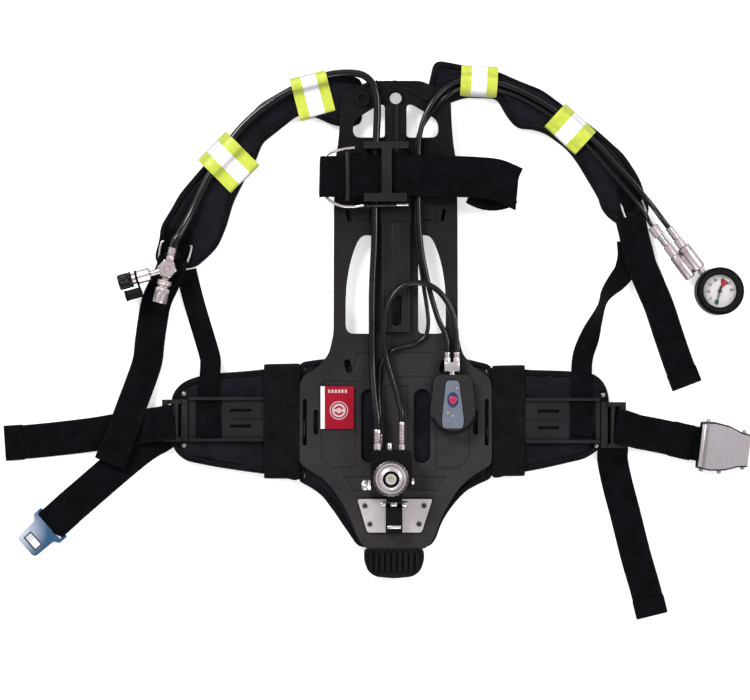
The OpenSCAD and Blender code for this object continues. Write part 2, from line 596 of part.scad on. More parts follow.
manifold_angle = -53.13;
manifold_z = 11.5;
gauge_side = 7.3;
module manifold_frame() translate([350.8, 96.8, manifold_z]) rotate(manifold_angle) children();
module gauge_manifold() color([0.8, 0.76, 0.76]) manifold_frame() {
    bar([-8, -7.3], [12, 7.3], -4.5, 4.5);
    along([-16, gauge_side, 0], 0, 16, 33);
    along([17, gauge_side, 0], 0, 9, 6.3);
    along([-14, -gauge_side, 0], 0, 13, 33);
}
module hose_ends() color([0.8, 0.76, 0.76]) {
    along([-20, -134, 35], 90, 5.8, 6);
    along([-20, -128, 35], 90, 9.6, 24);
    along([-16.5, -134, 24], 90, 3.8, 6);
    along([-16.5, -128, 24], 90, 6, 18);
    along([9, -134, 35], 90, 4.8, 6);
    along([9, -128, 35], 90, 8, 33);
    translate(tee_at) rotate([0, 90, hose_side]) translate([0, 0, 10]) cylinder(d = 10.5, h = 16);
    manifold_frame() {
        along([-16, gauge_side, 0], 180, 11, 12);
        along([-28, gauge_side, 0], 180, 9, 17);
        along([-14, -gauge_side, 0], 180, 11, 15);
        along([-29, -gauge_side, 0], 180, 8.4, 15);
        along([-44, -gauge_side, 0], 180, 13, 14, 6);
    }
}
gauge_at = [390, 61];
gauge_h = 25;
module gauge_case() color([0.16, 0.17, 0.18]) translate([gauge_at[0], gauge_at[1], 0]) {
    difference() {
        union() {
            translate([0, 0, 0]) cylinder(d = gauge_d - 5, h = 3);
            translate([0, 0, 3]) cylinder(d = gauge_d, h = gauge_h - 6);
            translate([0, 0, gauge_h - 3]) cylinder(d = gauge_d - 6, h = 3);
        }
        translate([0, 0, gauge_h - 6.5]) cylinder(d = dial_d + 2, h = 10);
        translate([0, 0, gauge_h - 9]) cylinder(d = dial_d - 2, h = 10);
        translate([0, 0, 8]) cylinder(r = 1.2 + run, h = 20);
    }
    difference() {
        translate([0, 0, gauge_h - 9]) cylinder(d = dial_d - 2.2, h = 1.2);
        translate([0, 0, 8]) cylinder(r = 1.2 + run, h = 20);
    }
}
module gauge_lens() color([0.9, 0.93, 0.95, 0.3]) {
    translate([gauge_at[0], gauge_at[1], gauge_h - 3.2]) cylinder(d = dial_d + 1.8, h = 1.6);
}
module gauge_needle() color([0.1, 0.1, 0.1]) {
    translate([gauge_at[0], gauge_at[1], 0]) {
        translate([0, 0, 9]) cylinder(r = 1.2, h = gauge_h - 13.5);
        translate([0, 0, gauge_h - 7]) cylinder(r = 2.2, h = 1.6);
        rotate(-105) slab([[1, -0.9], [16, -0.3], [16, 0.3], [1, 0.9]], gauge_h - 6.6, gauge_h - 5.8);
        rotate(75) slab([[1, -1.2], [6, -1.2], [6, 1.2], [1, 1.2]], gauge_h - 6.6, gauge_h - 5.8);
    }
}

// ---- buckle ----

buckle_at = [396, -127];
buckle_turn = -7;
buckle_side = [[-30, 28], [-14, 29.5], [4, 27], [18, 21.5], [31, 19.5]];
flap_side = [[-29, 25.8], [-14, 27.4], [4, 24.9], [18, 19.4], [30, 17.4]];
pin_x = -22;
pin_z = 10.5;
pin_r = 1.5;
module buckle_frame() translate([buckle_at[0], buckle_at[1], 0]) rotate(buckle_turn) children();
function closed(side) = concat(side, [for (i = [len(side) - 1:-1:0]) [side[i][0], -side[i][1]]]);
function wall(side, t) =
    concat(side, [for (i = [len(side) - 1:-1:0]) [side[i][0], side[i][1] - t]]);
module buckle_base() color([0.75, 0.73, 0.76]) buckle_frame() {
    difference() {
        union() {
            slab(closed(buckle_side), 0.6, 2.6);
            for (s = [0, 1]) mirror([0, s, 0]) slab(wall(buckle_side, 1.5), 2.6, 13);
        }
        along([pin_x, -35, pin_z], 90, 2 * pin_r + 0.04, 70);
    }
    along([-11, -28, 7.2], 90, 4, 56);
}
module buckle_pin() color([0.6, 0.6, 0.62]) buckle_frame() {
    along([pin_x, -28.2, pin_z], 90, 2 * pin_r, 56.4);
}
module buckle_spring() color([0.5, 0.5, 0.52]) buckle_frame() {
    for (i = [0:6]) translate([pin_x, -4.8 + i * 1.6, pin_z]) rotate([90, 0, 0]) rotate_extrude()
        translate([2.5, 0]) circle(r = 0.5, $fn = 14);
}
module buckle_flap() color([0.78, 0.76, 0.79]) buckle_frame() {
    slab(closed(flap_side), 14.6, 16.2);
    difference() {
        for (y = [-21, 18]) translate([0, y, 0]) {
            along([pin_x, 0, pin_z], 90, 6, 3);
            bar([pin_x - 2.5, 0], [pin_x + 2.5, 3], pin_z, 14.6);
        }
        along([pin_x, -35, pin_z], 90, 2 * (pin_r + run), 70);
    }
}

tongue_at = [-411, -218.5];
tongue_turn = 222;
tongue_z = 6;
module buckle_tongue() color([0.45, 0.6, 0.75]) {
    translate([tongue_at[0], tongue_at[1], tongue_z]) rotate(tongue_turn) {
        difference() {
            slab(eased([[-3, 23.5], [9, 23.5], [13, 17], [40, 16], [43, 13], [43, -13], [40, -16],
                [13, -17], [9, -23.5], [-3, -23.5]], 2), -1, 1);
            bar([-4, -19.5], [5.5, 19.5], -2, 2);
            bar([26, -9.5], [36, 9.5], -2, 2);
        }
        along([0, -20, 0], 90, 3.6, 40);
    }
}

in_frame() backplate();
in_frame() bumper_foot();
in_frame() lumbar_pad();
in_frame() strap_keeper();
in_frame() cylinder_strap();
in_frame() strap_ring();
in_frame() bracket_plate();
in_frame() bracket_fasteners();
in_frame() bracket_block();
in_frame() name_plate();
in_frame() reducer_body();
in_frame() inlet_filter();
in_frame() inlet_seal();
in_frame() relief_valve();
in_frame() reducer_plugs();
in_frame() hose_ends();
in_frame() handwheel();
in_frame() mp_hose();
in_frame() link_hose();
in_frame() gauge_hose();
in_frame() whistle_hose();
in_frame() device_case();
in_frame() device_label();
in_frame() device_lamps();
in_frame() device_tee();
in_frame() device_button();
in_frame() shoulder_pad_left();
in_frame() shoulder_pad_right();
in_frame() bands_left();
in_frame() bands_right();
in_frame() strap_slides();
in_frame() pull_strap_left();
in_frame() pull_strap_right();
in_frame() anchor_strap_left();
in_frame() anchor_strap_right();
in_frame() waist_pad_left();
in_frame() waist_pad_right();
in_frame() wing_left();
in_frame() wing_right();
in_frame() sleeves();
in_frame() adjusters();
in_frame() wing_rivets();
in_frame() belt_tail_left();
in_frame() tongue_strap();
in_frame() belt_right();
in_frame() belt_tail_right();
in_frame() tee_block();
in_frame() coupler_bodies();
in_frame() sleeve_upper();
in_frame() sleeve_lower();
in_frame() dust_cap();
in_frame() gauge_manifold();
in_frame() gauge_case();
in_frame() gauge_lens();
in_frame() gauge_needle();
in_frame() buckle_base();
in_frame() buckle_pin();
in_frame() buckle_spring();
in_frame() buckle_flap();
in_frame() buckle_tongue();
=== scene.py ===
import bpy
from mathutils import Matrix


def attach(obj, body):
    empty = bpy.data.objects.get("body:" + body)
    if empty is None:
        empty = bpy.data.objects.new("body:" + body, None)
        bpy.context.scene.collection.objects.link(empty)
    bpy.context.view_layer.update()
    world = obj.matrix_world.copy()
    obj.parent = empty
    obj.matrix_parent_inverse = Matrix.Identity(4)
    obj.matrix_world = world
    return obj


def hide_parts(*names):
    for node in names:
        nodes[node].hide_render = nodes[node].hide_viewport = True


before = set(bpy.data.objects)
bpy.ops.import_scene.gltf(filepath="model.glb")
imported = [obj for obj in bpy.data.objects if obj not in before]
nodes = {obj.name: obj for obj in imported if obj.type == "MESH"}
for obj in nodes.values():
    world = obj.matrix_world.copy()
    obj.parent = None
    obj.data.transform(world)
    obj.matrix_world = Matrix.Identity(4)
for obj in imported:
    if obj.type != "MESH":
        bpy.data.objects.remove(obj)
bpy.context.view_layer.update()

import math
import random

import bmesh
import bpy
from mathutils import Matrix, Vector

BODY = "harness"
scene = bpy.context.scene
collection = scene.collection


# ---------------------------------------------------------------- places

def at(x, y, z=0.0):
    """A point of the laid-out set, from millimetres about the middle of the plate's axis."""
    return Vector((x + 20.6, y - 0.6, z)) / 1000


def smooth(points, step=0.004, closed=False):
    """Catmull-Rom curve through the points, sampled about every step."""
    points = [Vector(p) for p in points]
    count = len(points)
    out = []
    for i in range(count if closed else count - 1):
        b, c = points[i], points[(i + 1) % count]
        a = points[i - 1] if closed or i > 0 else b + (b - c)
        d = points[(i + 2) % count] if closed or i + 2 < count else c + (c - b)
        steps = max(2, round((c - b).length / step))
        for k in range(steps):
            t = k / steps
            out.append(0.5 * (2 * b + (c - a) * t + (2 * a - 5 * b + 4 * c - d) * t * t
                              + (3 * b - a - 3 * c + d) * t ** 3))
    if not closed:
        out.append(points[-1])
    return out


def length_of(points):
    return sum((b - a).length for a, b in zip(points, points[1:]))


# ---------------------------------------------------------------- camera

# straight above the set, looking down
camera = bpy.data.objects.new("camera", bpy.data.cameras.new("camera"))
camera.data.lens = 100
camera.data.sensor_width = 36
camera.location = (-0.0022, -0.0102, 2.512)
collection.objects.link(camera)
scene.camera = camera


# ---------------------------------------------------------------- materials

class Shader:
    """A material whose nodes are added one line at a time."""

    def __init__(self, name, color, roughness=0.5, metallic=0.0, **more):
        self.material = bpy.data.materials.new(name)
        self.material.use_nodes = True
        self.tree = self.material.node_tree
        self.bsdf = self.tree.nodes["Principled BSDF"]
        self.set("Base Color", (*color, 1))
        self.set("Roughness", roughness)
        self.set("Metallic", metallic)
        for key, value in more.items():
            self.set(key.replace("_", " "), value)
        self.height = None
        self.coords = self.add("TexCoord")

    def set(self, key, value):
        if hasattr(value, "node"):
            self.tree.links.new(value, self.bsdf.inputs[key])
        else:
            self.bsdf.inputs[key].default_value = value

    def add(self, kind, props=None, **inputs):
        node = self.tree.nodes.new("ShaderNode" + kind)
        for key, value in (props or {}).items():
            setattr(node, key, value)
        for key, value in inputs.items():
            socket = node.inputs[int(key[1:])] if key[0] == "i" and key[1:].isdigit() \
                else node.inputs[key.replace("_", " ")]
            if hasattr(value, "node"):
                self.tree.links.new(value, socket)
            else:
                socket.default_value = value
        return node

    def space(self, scale=(1, 1, 1), uv=False, turn=0.0):
        source = self.coords.outputs["UV" if uv else "Object"]
        return self.add("Mapping", Vector=source, Scale=scale,
                        Rotation=(0, 0, turn)).outputs[0]

    def noise(self, scale, detail=3.0):
        return self.add("TexNoise", Vector=self.space(), Scale=scale, Detail=detail,
                        Roughness=0.55).outputs[0]

    def ramp(self, value, low, high, to_low, to_high):
        return self.add("MapRange", Value=value, From_Min=low, From_Max=high,
                        To_Min=to_low, To_Max=to_high).outputs[0]

    def math(self, operation, a, b=0.0, c=0.0):
        return self.add("Math", {"operation": operation}, i0=a, i1=b, i2=c).outputs[0]

    def mix(self, factor, a, b):
        node = self.add("Mix", {"data_type": "RGBA"}, i0=factor)
        for socket, value in ((node.inputs[6], a), (node.inputs[7], b)):
            if hasattr(value, "node"):
                self.tree.links.new(value, socket)
            else:
                socket.default_value = (*value, 1)
        return node.outputs[2]

    def bump(self, height, strength, distance):
        before = {"Normal": self.height} if self.height else {}
        self.height = self.add("Bump", Height=height, Strength=strength,
                               Distance=distance, **before).outputs[0]
        self.set("Normal", self.height)

    def drift(self, scale, detail=4, low=0.0, high=1.0):
        """A value that wanders over the surface between low and high."""
        return self.ramp(self.noise(scale, detail), 0.3, 0.7, low, high)

    def along(self, axis, source="Object"):
        """One coordinate, 0 for x, 1 for y and 2 for z."""
        return self.add("SeparateXYZ", Vector=self.coords.outputs[source]).outputs[axis]


def woven(name, dark, light, uv, rib, roughness=0.85, sheen=0.3):
    """Cloth with crossing threads; rib is the thread's pitch in metres."""
    s = Shader(name, light, roughness, Sheen_Weight=sheen, Sheen_Roughness=0.5)
    s.set("Base Color", s.mix(s.drift(60 if uv else 45), dark, light))
    waves = []
    for turn in (0.0, math.pi / 2):
        vector = s.space((1, 1, 1), uv, turn)
        waves.append(s.add("TexWave", {"wave_type": "BANDS", "bands_direction": "X"},
                           Vector=vector, Scale=0.314 / rib, Distortion=0.3,
                           Detail=1.0).outputs[1])
    weave = s.math("MAXIMUM", waves[0], s.math("MULTIPLY", waves[1], 0.8))
    s.bump(weave, 0.55, 0.0006)
    s.bump(s.noise(28, 4), 0.35, 0.004)
    s.set("Roughness", s.ramp(weave, 0.2, 1.0, roughness + 0.08, roughness - 0.1))
    s.set("Specular IOR Level", 0.02)
    return s


def metal(name, color, roughness, brushed=False, metallic=1.0):
    """Metal whose steep sides are painted as dark as the room they would mirror: a painted
    reflection.
    """
    s = Shader(name, color, roughness, metallic)
    stretch = s.space((900, 60, 60)) if brushed else s.space((90, 80, 85))
    fine = s.add("TexNoise", Vector=stretch, Scale=1.0, Detail=5.0, Roughness=0.6).outputs[0]
    s.set("Roughness", s.ramp(fine, 0.3, 0.75, roughness * 0.85, roughness * 1.2))
    drift = s.drift(35, 4, 0.9, 1.0)
    facing = s.along(2, "Normal")
    # painted reflection: the base colour is painted darker where the surface turns steep, together
    # with a random tone
    painted_rim_shade_and_tone = s.math("MULTIPLY", s.ramp(facing, 0.25, 0.88, 0.09, 1.0), drift)
    s.set("Base Color", s.mix(painted_rim_shade_and_tone, (0.0, 0.0, 0.0), color))
    if brushed:
        s.bump(fine, 0.1, 0.00006)
    return s


def moulded(name, dark, light, roughness, grain=1400, depth=0.3, painted_crease_shade=0.0, gloss=0.5,
            painted_falloff=None, **more):
    """Moulded plastic or rubber; the crease distance is how far corners are painted darker, as
    painted shade, and the falloff an axis with the two places between which the colour is painted
    darker, as painted shade."""
    s = Shader(name, light, roughness, Specular_IOR_Level=gloss, **more)
    color = s.mix(s.drift(22), dark, light)
    # painted shade: the colour is painted darker along one axis, between two places
    if painted_falloff:
        axis, start, end = painted_falloff
        color = s.mix(s.ramp(s.along(axis), start, end, 0.0, 1.0), color,
                      [c * 0.2 for c in dark])
    # painted shade: corners and creases painted darker, the less open room around them the darker
    if painted_crease_shade:
        open_sky = s.add("AmbientOcclusion", {"samples": 6}, Distance=painted_crease_shade).outputs[1]
        color = s.mix(s.ramp(open_sky, 0.35, 0.95, 0.0, 1.0), [c * 0.25 for c in dark], color)
    s.set("Base Color", color)
    s.set("Roughness", s.drift(14, 5, roughness - 0.08, roughness + 0.1))
    s.bump(s.noise(grain, 2), depth, 0.0003)
    return s


# painted shade: the creases of these mouldings are painted darker, and the plate also towards its
# head
plate_black = moulded("plate_black", (0.020, 0.018, 0.020), (0.033, 0.030, 0.033), 0.5,
    painted_crease_shade=0.003, gloss=0.09, painted_falloff=(1, -0.15, 0.21))
hard_black = moulded("hard_black", (0.006, 0.006, 0.007), (0.012, 0.0118, 0.013), 0.42,
    painted_crease_shade=0.004, gloss=0.2)
foot_rubber = moulded("foot_rubber", (0.004, 0.004, 0.0045), (0.009, 0.009, 0.010), 0.55, 900,
    painted_crease_shade=0.004, gloss=0.06)
hose_rubber = moulded("hose_rubber", (0.004, 0.004, 0.0045), (0.007, 0.007, 0.008), 0.21, 2200,
    0.12, gloss=0.32)
case_rubber = moulded("case_rubber", (0.013, 0.0145, 0.0145), (0.021, 0.024, 0.024), 0.5, 1600,
    painted_crease_shade=0.004)
gloss_black = moulded("gloss_black", (0.003, 0.003, 0.0035), (0.006, 0.006, 0.007), 0.22, 2000,
    0.1, gloss=0.12, Coat_Weight=0.04)
# painted shade: the alarm case's sides painted darker than its top
device_black = moulded("device_black", (0.0125, 0.012, 0.0125), (0.020, 0.0195, 0.0205), 0.5,
    1600, painted_crease_shade=0.004, gloss=0.15, painted_falloff=(2, 0.0303, 0.0290))
pad_cloth = woven("pad_cloth", (0.0040, 0.0040, 0.0062), (0.0085, 0.0088, 0.0125), False, 0.0012,
    sheen=0.07)
trim_cloth = woven("trim_cloth", (0.003, 0.003, 0.004), (0.007, 0.007, 0.0085), True, 0.0011,
    0.75, 0.03)
web_cloth = woven("web_cloth", (0.0016, 0.0017, 0.0023), (0.0040, 0.0043, 0.0054), True, 0.0015,
    0.72, 0.008)
thread_grey = Shader("thread_grey", (0.0085, 0.0085, 0.010), 0.7, Specular_IOR_Level=0.1)
thread_grey.bump(thread_grey.noise(2500, 2), 0.4, 0.0002)
steel = metal("steel", (0.56, 0.48, 0.485), 0.38, metallic=0.8)
shade_steel = metal("shade_steel", (0.30, 0.275, 0.285), 0.4, metallic=0.7)
bright_steel = metal("bright_steel", (0.66, 0.60, 0.61), 0.32, metallic=0.85)
satin_steel = metal("satin_steel", (0.90, 0.81, 0.84), 0.3, metallic=0.7)
# painted light: a steel painted lighter, for the nose that sits in the handwheel's recess
painted_light_steel = metal("painted_light_steel", (0.95, 0.91, 0.93), 0.25, metallic=0.55)
dark_steel = metal("dark_steel", (0.13, 0.12, 0.13), 0.34)
sheet_steel = metal("sheet_steel", (0.68, 0.625, 0.645), 0.42, True, 0.62)
brushed_steel = metal("brushed_steel", (0.52, 0.475, 0.505), 0.38, True, 0.8)
brass = metal("brass", (0.93, 0.80, 0.55), 0.35, metallic=0.7)
red_gloss = moulded("red_gloss", (0.22, 0.004, 0.014), (0.28, 0.008, 0.020), 0.32, 1800, 0.1,
    gloss=0.15)
label_grey = moulded("label_grey", (0.085, 0.095, 0.13), (0.135, 0.15, 0.19), 0.4, 2200, 0.1)
label_white = moulded("label_white", (0.62, 0.60, 0.62), (0.72, 0.70, 0.72), 0.4, 2200, 0.1)
label_pink = moulded("label_pink", (0.44, 0.30, 0.32), (0.52, 0.37, 0.39), 0.4, 2200, 0.1)
lamp_clear = moulded("lamp_clear", (0.22, 0.18, 0.16), (0.36, 0.31, 0.28), 0.12, 1500, 0.1)
print_blue = moulded("print_blue", (0.020, 0.018, 0.075), (0.030, 0.026, 0.10), 0.4, 2200, 0.1)
dial_white = moulded("dial_white", (0.62, 0.59, 0.59), (0.68, 0.65, 0.65), 0.5, 2500, 0.05)
dial_green = moulded("dial_green", (0.02, 0.20, 0.10), (0.03, 0.25, 0.13), 0.5, 2500, 0.05)
dial_red = moulded("dial_red", (0.30, 0.008, 0.008), (0.36, 0.012, 0.012), 0.5, 2500, 0.05)
dial_ink = moulded("dial_ink", (0.01, 0.01, 0.01), (0.02, 0.02, 0.02), 0.5, 2500, 0.05)
lens_clear = Shader("lens_clear", (0.05, 0.05, 0.05), 0.03, Alpha=0.07, IOR=1.45)
lens_clear.bump(lens_clear.noise(8, 2), 0.02, 0.0005)


def spread(name, base, middle, reach, inside, outside, soft, metallic=0.0, roughness=0.4):
    """A finish that turns from one colour to another away from a place."""
    s = Shader(name, base, roughness, metallic)
    place_at = s.add("VectorMath", {"operation": "DISTANCE"},
                     i0=s.coords.outputs["Object"], i1=tuple(middle)).outputs[1]
    far = s.ramp(place_at, reach - soft, reach + soft, 0.0, 1.0)
    s.set("Base Color", s.mix(far, inside, outside))
    s.bump(s.noise(900, 2), 0.1, 0.0001)
    return s


button_red = spread("button_red", (0.4, 0.01, 0.04), at(70, -69, 33), 0.0043,
    (0.36, 0.012, 0.045), (0.035, 0.028, 0.12), 0.0006)
# painted highlight: the blued steel of the tongue painted pale round one corner
blue_steel_painted_highlight = spread("blue_steel_painted_highlight", (0.3, 0.4, 0.6), at(-451, -227, 6), 0.021, (0.58, 0.61, 0.74),
    (0.030, 0.095, 0.19), 0.014, 0.4, 0.4)


def reflective():
    """Lime cloth with a silver stripe down the middle, where v is 0; its steep sides carry painted
    shade.
    """
    s = Shader("reflective_band", (0.5, 0.55, 0.06), 0.5, Sheen_Weight=0.05)
    edge = s.math("ABSOLUTE", s.along(1, "UV"))
    stripe = s.math("LESS_THAN", edge, 0.0092)
    mottled = s.drift(160, 3)
    lime = s.mix(mottled, (0.40, 0.47, 0.030), (0.50, 0.56, 0.060))
    silver = s.mix(mottled, (0.80, 0.79, 0.82), (0.92, 0.91, 0.94))
    # painted shade: where the band turns steep, lime and silver are painted darker
    flat = s.ramp(s.along(2, "Normal"), 0.55, 0.93, 0.0, 1.0)
    lime = s.mix(flat, (0.27, 0.31, 0.020), lime)
    silver = s.mix(flat, (0.30, 0.27, 0.32), silver)
    s.set("Base Color", s.mix(stripe, lime, silver))
    beads = s.add("TexVoronoi", Vector=s.space(), Scale=1500.0).outputs[0]
    s.bump(beads, 0.25, 0.0003)
    seam = s.math("LESS_THAN", s.math("ABSOLUTE", s.math("SUBTRACT", edge, 0.0098)), 0.0005)
    s.bump(seam, 0.4, -0.0004)
    return s


band_cloth = reflective()


# ---------------------------------------------------------------- making pieces

def place(obj, shader, body=BODY, replaces=()):
    """Puts a piece in the scene with its finish, body and the nodes it stands for."""
    if obj.name not in collection.objects:
        collection.objects.link(obj)
    if shader is not None:
        obj.data.materials.clear()
        obj.data.materials.append(shader.material)
    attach(obj, body)
    if replaces:
        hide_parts(*replaces)
    return obj


def from_lists(name, points, faces, uvs=None, flat=False):
    mesh = bpy.data.meshes.new(name)
    mesh.from_pydata([tuple(p) for p in points], [], faces)
    if uvs:
        layer = mesh.uv_layers.new(name="UVMap")
        for loop in mesh.loops:
            layer.data[loop.index].uv = uvs[loop.vertex_index]
    mesh.update()
    if not flat:
        mesh.shade_smooth()
    return bpy.data.objects.new(name, mesh)


def finished(node, shader, bevel=0.4, body=BODY, angle=32, segments=2):
    """A CAD part with its sharp edges rounded over."""
    mesh = nodes[node].data.copy()
    bm = bmesh.new()
    bm.from_mesh(mesh)
    bmesh.ops.remove_doubles(bm, verts=bm.verts, dist=2e-6)
    bmesh.ops.dissolve_limit(bm, angle_limit=math.radians(0.6), verts=bm.verts, edges=bm.edges)
    bm.to_mesh(mesh)
    bm.free()
    mesh.shade_smooth()
    mesh.set_sharp_from_angle(angle=math.radians(angle))
    obj = bpy.data.objects.new(node + "_finish", mesh)
    collection.objects.link(obj)
    modifier = obj.modifiers.new("round", "BEVEL")
    modifier.width = bevel / 1000
    modifier.segments = segments
    modifier.limit_method = "ANGLE"
    modifier.angle_limit = math.radians(angle)
    modifier.harden_normals = True
    modifier.use_clamp_overlap = True
    return place(obj, shader, body, [node])


class Turned:
    """Turned, knurled, hexagonal and milled pieces gathered into one mesh."""

    def __init__(self):
        self.bm = bmesh.new()

    def add(self, spot, profile, shape=None, sides=72, hollow=False):
        """A piece turned about spot's z axis; profile gives (z, radius) in millimetres."""
        rings = []
        for z, radius in profile:
            circle = []
            for k in range(sides):
                a = 2 * math.pi * k / sides
                q = shape(radius, z, a) if shape else radius
                local = Vector((q * math.cos(a), q * math.sin(a), z)) / 1000
                circle.append(self.bm.verts.new(spot @ local))
            rings.append(circle)
        pairs = list(zip(rings, rings[1:]))
        if hollow:
            pairs.append((rings[-1], rings[0]))
        else:
            self.bm.faces.new(rings[0][::-1])
            self.bm.faces.new(rings[-1])
        for low, high in pairs:
            for k in range(sides):
                j = (k + 1) % sides
                self.bm.faces.new((low[k], low[j], high[j], high[k]))
        return self

    def block(self, spot, low, high, edge=0.4):
        """A block between two corners, in millimetres, with its edges rounded."""
        low, high = Vector(low) / 1000, Vector(high) / 1000
        made = bmesh.ops.create_cube(self.bm, size=1.0, matrix=spot
                                     @ Matrix.Translation((low + high) / 2)
                                     @ Matrix.Diagonal((*(high - low), 1.0)))
        edges = {e for v in made["verts"] for e in v.link_edges}
        bmesh.ops.bevel(self.bm, geom=list(edges), offset=edge / 1000, segments=2,
                        profile=0.5, affect="EDGES")
        return self

    def done(self, name, shader, slot, body=BODY, node=None, angle=34):
        bmesh.ops.recalc_face_normals(self.bm, faces=self.bm.faces)
        mesh = bpy.data.meshes.new(name)
        self.bm.to_mesh(mesh)
        self.bm.free()
        mesh.shade_smooth()
        mesh.set_sharp_from_angle(angle=math.radians(angle))
        return place(bpy.data.objects.new(name, mesh), shader, body, [node] if node else [])


def turned(name, shader, slot, spot, profile, shape=None, sides=72, hollow=False, body=BODY,
           node=None, angle=34):
    """One turned piece as an object of its own."""
    Turned().add(spot, profile, shape, sides, hollow).done(name, shader, slot, body, node, angle)


def upright(x, y, turn=0.0, z=0.0):
    """A frame whose z axis stands upright."""
    return Matrix.Translation(at(x, y, z)) @ Matrix.Rotation(math.radians(turn), 4, "Z")


def lying(x, y, z, turn):
    """A frame whose z axis lies in the plane of the plate."""
    return upright(x, y, turn, z) @ Matrix.Rotation(math.pi / 2, 4, "Y")


def barrel(z0, z1, radius, edge=0.4):
    """The profile of a cylinder with eased edges."""
    return [(z0, radius - edge), (z0 + edge * 0.4, radius - edge * 0.3), (z0 + edge, radius),
            (z1 - edge, radius), (z1 - edge * 0.4, radius - edge * 0.3), (z1, radius - edge)]


def hexagon(flats):
    """Cuts a turned piece down to a hexagon of this size across its flats."""
    return lambda q, z, a: min(q, flats / 2 / math.cos(a % (math.pi / 3) - math.pi / 6))


def knurl(count, depth, z0, z1):
    """Cuts count grooves round a turned piece, between two heights."""
    return lambda q, z, a: q - depth * (0.5 - 0.5 * math.cos(count * a)) if z0 < z < z1 else q


def outline_arc(x, y, r0, r1, a0, a1, steps=40):
    """A flat sector or half ring as an outline; r1 may be two half axes."""
    rx, ry = r1 if isinstance(r1, tuple) else (r1, r1)
    angles = [math.radians(a0 + (a1 - a0) * k / steps) for k in range(steps + 1)]
    return ([(x + rx * math.cos(a), y + ry * math.sin(a)) for a in angles]
            + [(x + r0 * math.cos(a), y + r0 * math.sin(a)) for a in reversed(angles)])


def ring(x, y, r0, r1):
    """A flat ring as two half rings."""
    return [outline_arc(x, y, r0, r1, 0, 180), outline_arc(x, y, r0, r1, 180, 360)]


def oblong(x0, y0, x1, y1):
    return [(x0, y0), (x1, y0), (x1, y1), (x0, y1)]


def printed(name, outlines, z0, z1, shader, body=BODY, spot=None):
    """Thin flat pieces, such as print on a plate or on the dial."""
    points, faces = [], []
    for outline in outlines:
        n, start = len(outline), len(points)
        for z in (z0, z1):
            for x, y in outline:
                p = at(x, y, z) if spot is None else spot @ (Vector((x, y, z)) / 1000)
                points.append(p)
        faces.append(tuple(start + k for k in reversed(range(n))))
        faces.append(tuple(start + n + k for k in range(n)))
        faces += [(start + k, start + (k + 1) % n, start + n + (k + 1) % n, start + n + k)
                  for k in range(n)]
    return place(from_lists(name, points, faces, flat=True), shader, body)


def round_curve(name, points, radius, resolution, closed=False):
    curve = bpy.data.curves.new(name, "CURVE")
    curve.dimensions = "3D"
    curve.bevel_depth = radius
    curve.bevel_resolution = resolution
    curve.use_fill_caps = True
    spline = curve.splines.new("POLY")
    spline.points.add(len(points) - 1)
    spline.use_cyclic_u = closed
    for target, p in zip(spline.points, points):
        target.co = (*p, 1)
    return bpy.data.objects.new(name, curve)


def round_bar(name, node, line, diameter, shader, closed=False):
    """A bent bar or wire; its diameter is in millimetres."""
    points = smooth([at(*p) for p in line], 0.003, closed)
    obj = round_curve(name, points, diameter / 2000, 4, closed)
    return place(obj, shader, BODY, [node] if node else [])


def hose(name, node, line, diameter):
    """A hose with both ends in fittings; its diameter is in metres."""
    points = smooth([at(*p) for p in line], 0.005)
    obj = place(round_curve(name, points, diameter / 2, 5), hose_rubber, BODY,
                [node])


# ---------------------------------------------------------------- hoses

mp_line = [[-20, -103.9, 35], [-20, -92, 35], [-23, -70, 31], [-25, -48, 26], [-26, -26, 22],
    [-26, 0, 21.5], [-26, 28, 21.5], [-26, 56, 21.5], [-25, 84, 21.5], [-23.5, 112, 21.5],
    [-23, 140, 21.5], [-23, 168, 21.5], [-22, 196, 21.5], [-22, 224, 21.5], [-21, 250, 22],
    [-20, 274, 22.5], [-21, 294, 23], [-26, 309, 23], [-37, 319, 21.5], [-54, 322, 19.5],
    [-78, 320, 17.5], [-104, 311, 17], [-130, 298, 17], [-156, 281, 17], [-180, 260, 17],
    [-200, 235, 17], [-216, 208, 17], [-230, 182, 17], [-242, 156, 18], [-251, 138, 22],
    [-257, 127, 26.5], [-261, 121, 27.5], [-263.2, 112.4, 27.5]]
link_line = [[9, -94.9, 35], [9, -84, 35], [4, -64, 30], [-2, -45, 27.5], [-8, -24, 27],
    [-12, -4, 28.5], [-12, 16, 30.5], [-9, 36, 30.5], [-3, 52, 30.5], [7, 64, 30.5],
    [20, 70, 30.5], [34, 70, 30.5], [47, 65, 30.5], [58, 55, 30], [67, 40, 28], [72.5, 20, 26],
    [74.5, 0, 25], [74.5, -9.9, 25]]
gauge_hose_line = [[63.5, -9.9, 25], [63.5, 0, 25], [61, 10, 24], [54, 24, 23], [48, 42, 22],
    [43, 60, 22], [38.5, 80, 22.5], [34, 102, 23], [31, 126, 23.8], [29.5, 150, 24.2],
    [29, 176, 24.2], [29, 202, 24.2], [29, 226, 24.2], [30.5, 246, 25], [35, 264, 25],
    [42, 280, 24.8], [52, 294, 23], [64, 305, 19.5], [78, 312, 17], [98, 313, 16], [120, 311, 16],
    [142, 304, 16], [164, 294, 16], [186, 281, 16], [208, 266, 16], [229, 250, 16],
    [248, 232, 16], [266, 212, 16.5], [281, 196, 18], [296, 178, 20], [309, 163, 19],
    [318, 152, 14], [324, 144.6, 11.5], [329.6, 137.3, 11.5]]
